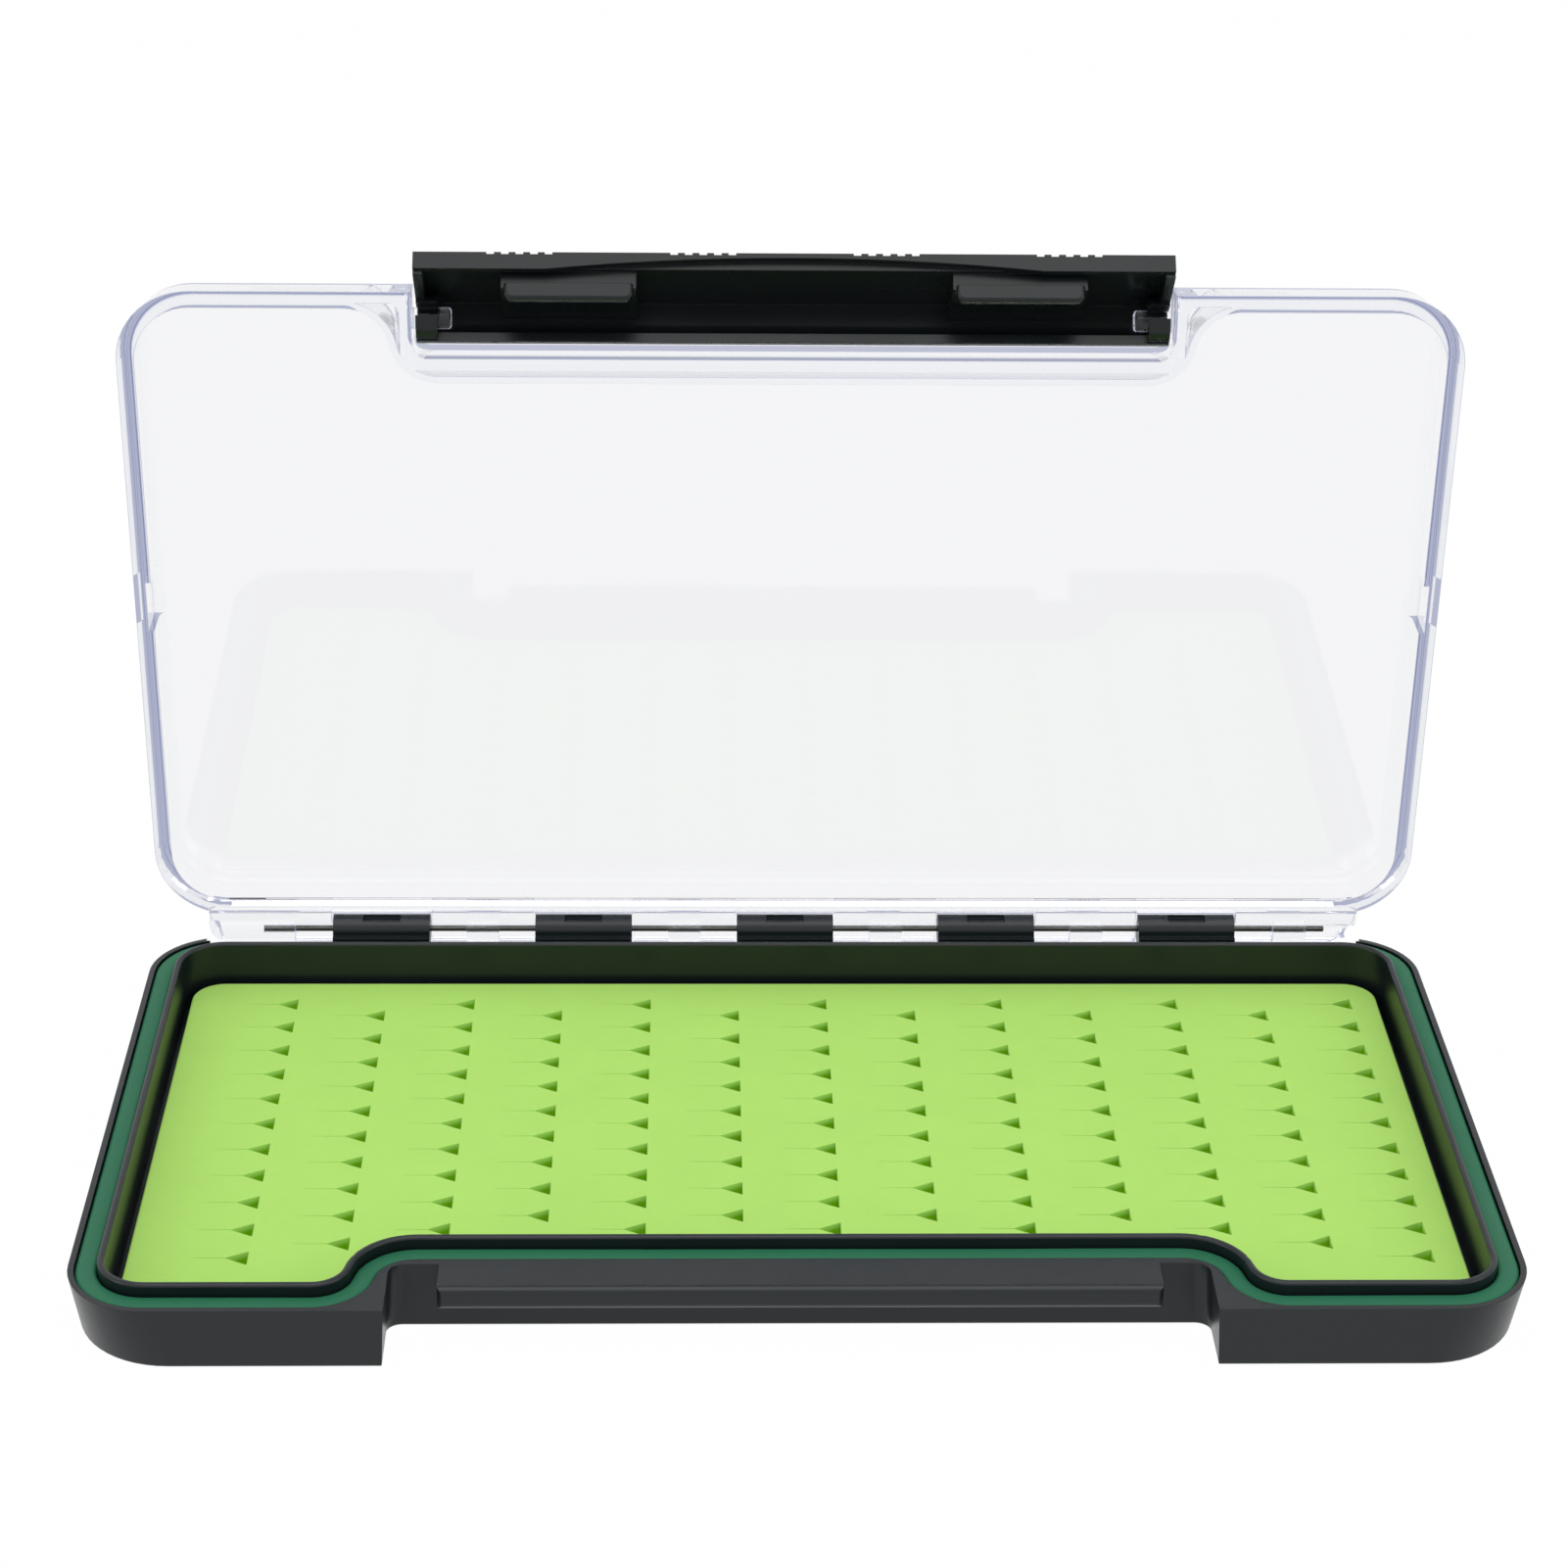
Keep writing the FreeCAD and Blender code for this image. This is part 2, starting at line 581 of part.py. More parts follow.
def make_tray():
    """The dark tray."""
    body = new_body("tray")
    recess_back = d["recess_depth"] - half_depth
    outlines = []
    for turn in (0, 30, 60, 90):
        bend = math.radians(turn)
        inset = d["foot_radius"] * round(1 - math.sin(bend), 4)
        level = d["foot_radius"] * round(1 - math.cos(bend), 4)
        outline = new_sketch(body, f"tray_foot_outline_{turn}", offset=level)
        recessed_ring(outline, half_length - d["end_slope"] - inset,
                      half_depth - d["front_slope"] - inset,
                      d["foot_corner"] - inset,
                      recess_half + d["recess_side_slope"] + inset,
                      recess_back - d["recess_slope"] + inset, d["recess_corner"] + inset)
        outlines.append(outline)
    outline = new_sketch(body, "tray_outline", offset=d["rim_height"])
    recessed_ring(outline, half_length, half_depth, d["corner_radius"], recess_half,
                  recess_back, d["recess_corner"])
    outlines.append(outline)
    loft(body, "tray_block", outlines)

    rise = new_sketch(body, "tray_inner_wall_plan", offset=d["rim_height"])
    seal_ring(rise, channel_inside)
    pad(body, "tray_inner_wall", rise, d["inner_rise"])

    hollow = new_sketch(body, "tray_hollow_plan", offset=inner_top)
    seal_ring(hollow, tray_inside)
    pocket(body, "tray_hollow", hollow, inner_top - d["floor_thickness"])
    fillet(body, "tray_inner_wall_round", at_height(inner_top), d["inner_round"])

    channel = new_sketch(body, "tray_channel_plan", offset=d["rim_height"])
    seal_ring(channel, d["rim_wall"])
    seal_ring(channel, channel_inside)
    pocket(body, "tray_channel", channel, d["channel_depth"])

    rear = new_sketch(body, "tray_rear_notch_plan", offset=d["rim_height"])
    notch_half = half_length - d["lid_rail_inset"] + d["lid_knuckle_gap"]
    rectangle(rear, -notch_half, notch_half, half_depth - d["rim_wall"] - d["rim_wall"] / 2,
              half_depth + d["cut_over"])
    pocket(body, "tray_rear_notch", rear, d["rear_notch_depth"])

    bar_side = new_sketch(body, "catch_bar_side", "YZ_Plane")
    bar_front = d["bar_setback"] - half_depth
    bar_back = d["recess_depth"] + d["bar_root"] - half_depth
    rectangle(bar_side, bar_front, bar_back, d["rim_height"] - d["bar_height"], d["rim_height"])
    pad(body, "catch_bar", bar_side, bar_half * 2, middle=True)
    fillet(body, "catch_bar_corners", upright_at(bar_half, bar_front), d["bar_corner"])

    knuckle = new_sketch(body, "knuckle_side", "YZ_Plane", first_knuckle)
    wall = half_depth - d["knuckle_root"]
    radius = d["knuckle_radius"]
    y, z, r = hinge_y.value, hinge_z.value, radius.value
    top = d["rim_height"]
    drop = top.value - z
    reach = math.sqrt(r * r - drop * drop)
    last = 360 + math.degrees(math.atan2(drop, -reach))
    under = add_line(knuckle, (wall.value, z - r), (y, z - r))
    round_back = add_arc(knuckle, (y, z), r, -90, last)
    over = add_line(knuckle, (y - reach, top.value), (wall.value, top.value))
    root = add_line(knuckle, (wall.value, top.value), (wall.value, z - r))
    hold(knuckle, "Tangent", under, 2, round_back, 1)
    hold(knuckle, "Coincident", round_back, 2, over, 1)
    hold(knuckle, "Coincident", over, 2, root, 1)
    hold(knuckle, "Coincident", root, 2, under, 1)
    hold(knuckle, "Horizontal", under)
    hold(knuckle, "Horizontal", over)
    hold(knuckle, "Vertical", root)
    hold(knuckle, "DistanceX", root, 1, wall)
    hold(knuckle, "DistanceX", round_back, 3, hinge_y)
    hold(knuckle, "DistanceY", round_back, 3, hinge_z)
    hold(knuckle, "DistanceY", over, 1, top)
    hold(knuckle, "Radius", round_back, radius)
    block = pad(body, "knuckle", knuckle, d["knuckle_width"], middle=True)

    slot = new_sketch(body, "knuckle_slot_plan", offset=hinge_z + radius)
    slot_half = d["knuckle_slot_width"] / 2
    rectangle(slot, first_knuckle - slot_half, first_knuckle + slot_half,
              hinge_y - d["knuckle_slot_length"], hinge_y)
    nick = pocket(body, "knuckle_slot", slot, d["knuckle_slot_depth"])
    row_of(body, "knuckles", [block, nick], "X_Axis", knuckle_pitch * (KNUCKLES - 1),
           KNUCKLES)

    bore = new_sketch(body, "knuckle_bore_side", "YZ_Plane")
    circle_ring(bore, hinge_y, hinge_z, d["pin_radius"] + d["pin_fit"])
    pocket(body, "knuckle_bores", bore, d["box_length"], middle=True)
    return body


# Seal: one rubber ring on the floor of the channel

def make_seal():
    """The green seal."""
    body = new_body("seal")
    plan = new_sketch(body, "seal_plan", offset=d["rim_height"] - d["channel_depth"])
    seal_ring(plan, d["rim_wall"] + d["seal_side_gap"])
    seal_ring(plan, channel_inside - d["seal_side_gap"])
    pad(body, "seal_ring", plan, d["channel_depth"] - d["seal_drop"])
    top = d["rim_height"] - d["seal_drop"]
    fillet(body, "seal_round_top", at_height(top), d["seal_round"])
    return body


# Insert: a silicone sheet cut with slits that end in wedges

def seal_outline(inset, height):
    """The same ring as seal_ring, as a plain wire."""
    side = (half_length - inset).value
    end = (half_depth - inset).value
    corner = (d["corner_radius"] - inset).value
    outward = (seal_middle - inset).value
    wide = d["seal_bend"].value + outward
    tight = d["seal_bend"].value - outward
    far = seal_bend_place.value
    notch = d["seal_setback"].value - end
    sweep = math.acos(1 - d["seal_setback"].value / (wide + tight))
    near = far - (wide + tight) * math.sin(sweep)
    low = wide - end
    high = notch - tight
    turn = math.pi / 2

    def arc(x, y, radius, start, stop):
        circle = Part.Circle(FreeCAD.Vector(x, y, height), FreeCAD.Vector(0, 0, 1), radius)
        return Part.Edge(Part.ArcOfCircle(circle, start, stop))

    def line(x1, y1, x2, y2):
        return Part.Edge(Part.LineSegment(FreeCAD.Vector(x1, y1, height),
                                          FreeCAD.Vector(x2, y2, height)))

    sx, sy = side - corner, end - corner
    edges = [
        arc(sx, sy, corner, 0, turn), line(sx, end, -sx, end),
        arc(-sx, sy, corner, turn, 2 * turn), line(-side, sy, -side, -sy),
        arc(-sx, -sy, corner, 2 * turn, 3 * turn), line(-sx, -end, -far, -end),
        arc(-far, low, wide, 3 * turn, 3 * turn + sweep),
        arc(-near, high, tight, turn, turn + sweep), line(-near, notch, near, notch),
        arc(near, high, tight, turn - sweep, turn),
        arc(far, low, wide, 3 * turn - sweep, 3 * turn), line(far, -end, sx, -end),
        arc(sx, -sy, corner, 3 * turn, 4 * turn), line(side, -sy, side, sy),
    ]
    return Part.Wire(Part.__sortEdges__(edges))


def slit_wires(inset, height):
    """One closed wire for each slit with its wedge."""
    rear = (half_depth - inset).value
    wedge = d["wedge_length"].value
    reach = wedge + d["slit_length"].value
    thin = d["slit_width"].value / 2
    wide = d["wedge_width"].value / 2
    side = (half_length - inset).value
    front = (d["seal_setback"] - half_depth + inset).value
    first_x = reach + d["slit_left_margin"].value - side
    step_x = (side - d["slit_right_margin"].value - first_x) / (SLIT_COLUMNS - 1)
    first_y = rear - d["slit_rear_margin"].value
    step_y = (first_y - front - d["slit_front_margin"].value) / (SLIT_ROWS - 1)
    wires = []
    for column in range(SLIT_COLUMNS):
        x = first_x + column * step_x
        between = column % 2
        for row in range(SLIT_ROWS - between):
            y = first_y - step_y * (row + between / 2)
            outline = [
                (x, y + wide), (x - wedge, y + thin), (x - reach, y + thin),
                (x - reach, y - thin), (x - wedge, y - thin), (x, y - wide),
            ]
            points = [FreeCAD.Vector(px, py, height) for px, py in outline]
            wires.append(Part.makePolygon(points + points[:1]))
    return wires


def make_insert():
    """The lime silicone insert: a backing sheet under a sheet with the slits."""
    inset = tray_inside + d["insert_gap"]
    bottom = d["floor_thickness"].value
    back = d["insert_thickness"].value - d["slit_depth"].value
    up = FreeCAD.Vector(0, 0, 1)
    middle = bottom + back
    wires = slit_wires(inset, middle)
    face = Part.Face([seal_outline(inset, middle)] + wires)
    face.validate()
    slit_sheet = face.extrude(up * d["slit_depth"].value)
    backing = Part.Face(seal_outline(inset, bottom)).extrude(up * back)
    piece = doc.addObject("Part::Feature", "insert")
    piece.Label = "insert"
    piece.Shape = backing.fuse(slit_sheet).removeSplitter()
    piece.Placement = FreeCAD.Placement()
    print(f"insert: {len(wires)} slits")
    return piece


# Hinge pin: a plain steel rod

def make_pin():
    """The hinge pin."""
    body = new_body("hinge_pin")
    side = new_sketch(body, "pin_side", "YZ_Plane", pin_start)
    circle_ring(side, hinge_y, hinge_z, d["pin_radius"])
    pad(body, "pin_rod", side, pin_end - pin_start)
    base = body.Tip
    chamfer = body.newObject("PartDesign::Chamfer", "pin_ends")
    chamfer.Base = (base, ["Edge1", "Edge3"])
    chamfer.Size = d["pin_chamfer"].value
    chamfer.setExpression("Size", d["pin_chamfer"].text)
    doc.recompute()
    return body


# Lid: a clear shell, modelled closed and then turned about the hinge line

def make_lid():
    """The clear lid, in its closed place."""
    body = new_body("lid")
    wall = d["lid_wall"]
    recess_back = d["lid_recess_depth"] - half_depth
    outline = new_sketch(body, "lid_outline", offset=lid_bottom)
    corner = d["corner_radius"]
    corner_ring(outline, [
        (half_length, half_depth, corner), (-half_length, half_depth, corner),
        (-half_length, -half_depth, corner), (half_length, -half_depth, corner),
    ])
    block = pad(body, "lid_block", outline, d["closed_height"] - lid_bottom)
    taper(block, d["lid_slope"])
    recess = new_sketch(body, "lid_recess_plan", offset=lid_bottom)
    round_in = d["lid_recess_corner"]
    front = -half_depth - d["cut_over"]
    corner_ring(recess, [
        (recess_half, recess_back, round_in), (-recess_half, recess_back, round_in),
        (-recess_half, front, ZERO), (recess_half, front, ZERO),
    ])
    pocket(body, "lid_recess", recess, d["closed_height"] - lid_bottom, reverse=True)
    fillet(body, "lid_top_edges", at_height(d["closed_height"]), d["lid_edge_round"])

    hollow = new_sketch(body, "lid_hollow_plan", offset=lid_bottom)
    recessed_ring(hollow, half_length - wall, half_depth - wall, d["corner_radius"] - wall,
                  recess_half + wall, recess_back + wall, d["lid_inner_corner"],
                  d["lid_inner_corner"])
    inside = d["closed_height"] - d["lid_plate"] - lid_bottom
    shell = pocket(body, "lid_hollow", hollow, inside, reverse=True)
    taper(shell, d["lid_slope"])
    fillet(body, "lid_hollow_round", at_height(lid_bottom + inside), d["lid_inner_round"])

    rib = new_sketch(body, "lid_rib_plan", offset=lid_bottom)
    root = d["seal_rib"] / 4
    seal_ring(rib, wall - root)
    seal_ring(rib, wall + d["seal_rib"])
    pad(body, "lid_rib", rib, inside + d["lid_plate"] / 4)

    gap = new_sketch(body, "lid_rib_gap_plan", offset=lid_bottom)
    gap_half = d["rib_gap_length"] / 2
    rectangle(gap, half_length - wall - d["seal_rib"] * 2, half_length - wall,
              d["rib_gap_place"] - gap_half, d["rib_gap_place"] + gap_half)
    right_gap = pocket(body, "lid_rib_gap", gap, inside, reverse=True)
    mirror_of(body, "lid_rib_gaps", [right_gap])

    rail_half = half_length - d["lid_rail_inset"]
    radius = d["lid_knuckle_radius"]
    rail = new_sketch(body, "lid_rail_side", "YZ_Plane")
    inner = half_depth - d["rim_wall"] * 0.75
    low = lid_bottom - d["rear_notch_depth"]
    y, z, r = hinge_y.value, hinge_z.value, radius.value
    rise = low.value - z
    reach = math.sqrt(r * r - rise * rise)
    under = add_line(rail, (inner.value, low.value), (y + reach, low.value))
    start = math.degrees(math.atan2(rise, reach))
    back = add_arc(rail, (y, z), r, start, 90)
    top = add_line(rail, (y, z + r), (inner.value, z + r))
    root_line = add_line(rail, (inner.value, z + r), (inner.value, low.value))
    hold(rail, "Coincident", under, 2, back, 1)
    hold(rail, "Tangent", back, 2, top, 1)
    hold(rail, "Coincident", top, 2, root_line, 1)
    hold(rail, "Coincident", root_line, 2, under, 1)
    hold(rail, "Horizontal", under)
    hold(rail, "Horizontal", top)
    hold(rail, "Vertical", root_line)
    hold(rail, "DistanceX", root_line, 1, inner)
    hold(rail, "DistanceY", under, 1, low)
    hold(rail, "DistanceX", back, 3, hinge_y)
    hold(rail, "DistanceY", back, 3, hinge_z)
    hold(rail, "Radius", back, radius)
    pad(body, "lid_rail", rail, rail_half * 2, middle=True)

    trough = new_sketch(body, "lid_trough_side", "YZ_Plane")
    circle_ring(trough, hinge_y, hinge_z, d["lid_trough_radius"])
    pocket(body, "lid_trough", trough, d["box_length"], middle=True)
    mouth = new_sketch(body, "lid_trough_mouth_side", "YZ_Plane")
    rectangle(mouth, hinge_y - d["lid_trough_radius"], hinge_y + d["lid_trough_radius"],
              low - d["cut_over"], hinge_z)
    pocket(body, "lid_trough_mouth", mouth, d["box_length"], middle=True)

    window = new_sketch(body, "lid_window_plan", offset=low)
    window_half = d["knuckle_width"] / 2 + d["lid_knuckle_gap"]
    rectangle(window, first_knuckle - window_half, first_knuckle + window_half,
              half_depth, hinge_y + radius + d["cut_over"])
    opening = pocket(body, "lid_window", window, radius + d["cut_over"] * 2, reverse=True)
    window_foot = new_sketch(body, "lid_window_foot_plan", offset=low)
    rectangle(window_foot, first_knuckle - window_half, first_knuckle + window_half,
              half_depth - d["rim_wall"], half_depth + d["rim_wall"])
    foot = pocket(body, "lid_window_foot", window_foot, d["rear_notch_depth"], reverse=True)
    row_of(body, "lid_windows", [opening, foot], "X_Axis", knuckle_pitch * (KNUCKLES - 1),
           KNUCKLES)

    first_barrel = first_knuckle + knuckle_pitch / 2
    barrel = new_sketch(body, "lid_barrel_side", "YZ_Plane", first_barrel)
    circle_ring(barrel, hinge_y, hinge_z, radius)
    barrel_pad = pad(body, "lid_barrel", barrel, d["lid_barrel_width"], middle=True)
    row_of(body, "lid_barrels", [barrel_pad], "X_Axis", knuckle_pitch * (KNUCKLES - 2),
           KNUCKLES - 1)

    left = new_sketch(body, "lid_left_barrel_side", "YZ_Plane", -rail_half)
    circle_ring(left, hinge_y, hinge_z, radius)
    pad(body, "lid_left_barrel", left, d["barrel_left_inset"] - d["lid_rail_inset"])
    right_place = half_length - d["barrel_right_inset"]
    right = new_sketch(body, "lid_right_barrel_side", "YZ_Plane", right_place)
    circle_ring(right, hinge_y, hinge_z, radius)
    pad(body, "lid_right_barrel", right, d["lid_barrel_width"])

    corner = new_sketch(body, "lid_rail_corner_plan", offset=hinge_z - radius)
    corner_cut(corner, rail_half, hinge_y + radius, d["lid_rail_corner"], d["cut_over"])
    right_end = pocket(body, "lid_rail_corner", corner, radius * 2, reverse=True)
    mirror_of(body, "lid_rail_corners", [right_end])

    bore = new_sketch(body, "lid_bore_side", "YZ_Plane", pin_start - d["pin_fit"])
    circle_ring(bore, hinge_y, hinge_z, d["pin_radius"] + d["pin_fit"])
    pocket(body, "lid_bore", bore, d["box_length"], reverse=True)

    stud = new_sketch(body, "stud_side", "YZ_Plane", recess_half + d["stud_root"])
    circle_ring(stud, pivot_y, pivot_z, d["stud_radius"])
    stud_pad = pad(body, "stud", stud, d["stud_length"] + d["stud_root"], reverse=True)
    mirror_of(body, "studs", [stud_pad])
    fillet(body, "stud_ends", across(recess_half - d["stud_length"]), d["stud_round"])
    return body


# Latch: a full width lever, modelled closed, turned about its pivot and then with the lid

def make_latch():
    """The black latch, in its closed place."""
    body = new_body("latch")
    half = recess_half - d["latch_side_gap"]
    outer = d["latch_back_radius"]
    shell = d["latch_shell"]
    front = -half_depth
    top = d["closed_height"]
    corner = d["latch_top_round"]
    plate_back = front + d["latch_plate"]
    lip_back = front + d["lip_thickness"]
    lip_top = d["latch_bottom"] + d["lip_height"]
    under_top = pivot_z + outer - shell
    py, pz, ro = pivot_y.value, pivot_z.value, outer.value
    ri = ro - shell.value

    side = new_sketch(body, "latch_side", "YZ_Plane")
    bottom = add_line(side, (lip_back.value, d["latch_bottom"].value),
                      (front.value, d["latch_bottom"].value))
    face = add_line(side, (front.value, d["latch_bottom"].value),
                    (front.value, top.value - corner.value))
    edge = add_arc(side, (front.value + corner.value, top.value - corner.value),
                   corner.value, 90, 180)
    roof = add_line(side, (front.value + corner.value, top.value), (py, top.value))
    back = add_arc(side, (py, pz), ro, 0, 90)
    tail = add_line(side, (py + ro, pz), (py + ri, pz))
    inner_back = add_arc(side, (py, pz), ri, 0, 90)
    ceiling = add_line(side, (py, under_top.value), (plate_back.value, under_top.value))
    inner_face = add_line(side, (plate_back.value, under_top.value),
                          (plate_back.value, lip_top.value))
    step = add_line(side, (plate_back.value, lip_top.value), (lip_back.value, lip_top.value))
    lip = add_line(side, (lip_back.value, lip_top.value),
                   (lip_back.value, d["latch_bottom"].value))
    hold(side, "Coincident", bottom, 2, face, 1)
    hold(side, "Tangent", face, 2, edge, 2)
    hold(side, "Tangent", edge, 1, roof, 1)
    hold(side, "Coincident", roof, 2, back, 2)
    hold(side, "Coincident", back, 1, tail, 1)
    hold(side, "Coincident", tail, 2, inner_back, 1)
    hold(side, "Coincident", inner_back, 2, ceiling, 1)
    hold(side, "Coincident", ceiling, 2, inner_face, 1)
    hold(side, "Coincident", inner_face, 2, step, 1)
    hold(side, "Coincident", step, 2, lip, 1)
    hold(side, "Coincident", lip, 2, bottom, 1)
    for line in (bottom, roof, tail, ceiling, step):
        hold(side, "Horizontal", line)
    for line in (face, inner_face, lip):
        hold(side, "Vertical", line)
    hold(side, "DistanceY", bottom, 1, d["latch_bottom"])
    hold(side, "DistanceX", face, 1, front)
    hold(side, "Radius", edge, corner)
    hold(side, "DistanceY", roof, 1, top)
    hold(side, "DistanceX", back, 3, pivot_y)
    hold(side, "DistanceY", back, 3, pivot_z)
    hold(side, "DistanceX", roof, 2, pivot_y)
    hold(side, "DistanceY", tail, 1, pivot_z)
    hold(side, "DistanceX", inner_back, 3, pivot_y)
    hold(side, "DistanceY", inner_back, 3, pivot_z)
    hold(side, "Radius", inner_back, outer - shell)
    hold(side, "DistanceX", inner_face, 1, plate_back)
    hold(side, "DistanceY", step, 1, lip_top)
    hold(side, "DistanceX", lip, 1, lip_back)
    pad(body, "latch_shell", side, half * 2, middle=True)

    scoop = new_sketch(body, "lip_scoop_plan", offset=d["latch_bottom"])
    circle_ring(scoop, ZERO, lip_back - d["lip_scoop_depth"] + d["lip_scoop_radius"],
                d["lip_scoop_radius"])
    pocket(body, "lip_scoop", scoop, d["lip_height"], reverse=True)

    wall_root = plate_back - d["latch_plate"] / 4
    wall_side = new_sketch(body, "latch_end_side", "YZ_Plane", half)
    polygon(wall_side, [
        (wall_root, lip_top - d["lip_height"] / 2),
        (lip_back + d["end_wall_foot"], lip_top - d["lip_height"] / 2),
        (pivot_y - d["clip_mouth"] / 2 - d["end_wall_gap"], pivot_z - d["clip_radius"]),
        (pivot_y - d["clip_mouth"] / 2 - d["end_wall_gap"], under_top + shell / 2),
        (wall_root, under_top + shell / 2),
    ])
    end_wall = pad(body, "latch_end_wall", wall_side, d["latch_end_wall"], reverse=True)

    clip_side = new_sketch(body, "clip_side", "YZ_Plane", half)
    circle_ring(clip_side, pivot_y, pivot_z, d["clip_radius"])
    clip = pad(body, "clip", clip_side, d["clip_width"], reverse=True)
    hole_side = new_sketch(body, "clip_hole_side", "YZ_Plane", half)
    circle_ring(hole_side, pivot_y, pivot_z, d["stud_radius"] + d["clip_fit"])
    hole = pocket(body, "clip_hole", hole_side, d["clip_width"])
    mouth_side = new_sketch(body, "clip_mouth_side", "YZ_Plane", half)
    rectangle(mouth_side, pivot_y - d["clip_mouth"] / 2, pivot_y + d["clip_mouth"] / 2,
              pivot_z - d["clip_radius"] - d["cut_over"], pivot_z)
    mouth = pocket(body, "clip_mouth", mouth_side, d["clip_width"])
    mirror_of(body, "latch_left_end", [end_wall, clip, hole, mouth])

    grip = d["rim_height"] - d["bar_height"] - d["hook_gap"]
    tip = d["bar_setback"] + d["hook_grip"] - half_depth
    hook_middle = bar_half - d["hook_inset"]
    hook_half = d["hook_width"] / 2
    pad_half = d["hook_pad_width"] / 2
    pad_low = grip - d["hook_pad_drop"]
    pad_back = plate_back + d["hook_pad_rise"]
    hook_pad = new_sketch(body, "hook_pad_plan", offset=pad_low)
    rectangle(hook_pad, hook_middle - pad_half, hook_middle + pad_half, wall_root, pad_back)
    raised = pad(body, "hook_pad", hook_pad, under_top + shell / 2 - pad_low)
    hook_plan = new_sketch(body, "hook_plan", offset=grip)
    hook_root = pad_back - d["latch_plate"] / 4
    corner_ring(hook_plan, [
        (hook_middle + hook_half, hook_root, ZERO),
        (hook_middle + hook_half, tip, d["hook_corner"]),
        (hook_middle - hook_half, tip, d["hook_corner"]),
        (hook_middle - hook_half, hook_root, ZERO),
    ])
    hook = pad(body, "hook", hook_plan, d["hook_thickness"], reverse=True)
    slot_half = d["hook_slot_width"] / 2
    slot = new_sketch(body, "hook_slot_plan", offset=grip)
    rectangle(slot, hook_middle - slot_half, hook_middle + slot_half, front - d["cut_over"],
              pad_back + d["cut_over"])
    opening = pocket(body, "hook_slot", slot, d["hook_slot_height"], reverse=True)
    mirror_of(body, "hooks", [raised, hook, opening])
    fillet(body, "hook_noses", at_reach(tip), d["hook_round"])

    step_x = d["grip_groove"] + d["grip_rib"]
    first_x = d["grip_pitch"] * (-(GRIP_GROUPS - 1) / 2) - step_x * ((GRIP_GROOVES - 1) / 2)
    grooves = new_sketch(body, "grip_plan", offset=d["latch_bottom"])
    for number in range(GRIP_GROOVES):
        middle_x = first_x + step_x * number
        rectangle(grooves, middle_x - d["grip_groove"] / 2, middle_x + d["grip_groove"] / 2,
                  front - d["cut_over"], front + d["grip_depth"])
    group = pocket(body, "grip_grooves", grooves, d["grip_height"], reverse=True)
    row_of(body, "grips", [group], "X_Axis", d["grip_pitch"] * (GRIP_GROUPS - 1), GRIP_GROUPS)
    return body


# Pose: the lid turns about the hinge line, the latch about its studs and then with the lid

def turned(y, z, angle):
    """A turn about a line along X."""
    centre = FreeCAD.Vector(0, y.value, z.value)
    return FreeCAD.Placement(FreeCAD.Vector(), FreeCAD.Rotation(X_AXIS, angle), centre)


def check(pieces):
    """Stop if any object has failed or any piece has no sound shape."""
    doc.recompute()
    for item in doc.Objects:
        if "Invalid" in item.State or "Error" in item.State:
            raise RuntimeError(f"{item.Name}: {item.State}")
    for piece in pieces:
        if piece.Shape.isNull() or not piece.Shape.isValid():
            raise RuntimeError(f"{piece.Label} has no sound shape")
        if len(piece.Shape.Solids) != 1:
            raise RuntimeError(f"{piece.Label} has {len(piece.Shape.Solids)} solids")


def main():
    """Build, pose, check and export every piece."""
    pieces = [make_tray(), make_seal(), make_insert(), make_pin()]
    lid = make_lid()
    latch = make_latch()
    lid_turn = turned(hinge_y, hinge_z, -LID_OPEN)
    lid.Placement = lid_turn
    latch.Placement = lid_turn * turned(pivot_y, pivot_z, -LATCH_OPEN)
    pieces += [lid, latch]
    check(pieces)
    os.makedirs("parts", exist_ok=True)
    for piece in pieces:
        piece.Shape.exportStep(f"parts/{piece.Label}.step")
        box = piece.Shape.BoundBox
        print(f"{piece.Label}: {piece.Shape.Volume:.1f} mm3,"
              f" y {box.YMin:.2f} to {box.YMax:.2f}, z {box.ZMin:.2f} to {box.ZMax:.2f}")


main()
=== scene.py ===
# %% [markdown]
# # A slim fly box with a clear lid
#
# The box holds fishing flies in a sheet of soft rubber. A dark tray carries the sheet and a
# green seal, a clear lid turns on a steel pin behind it, and a black latch on the lid grips a
# bar in front of the tray. The hard pieces come from the CAD frame as they are. This file
# gives them their finish, rebuilds the two rubber pieces as smooth surfaces, and sets up a
# white studio round the box.

import math

import bmesh
import bpy
import numpy as np
from mathutils import Matrix, Vector
from mathutils.geometry import delaunay_2d_cdt


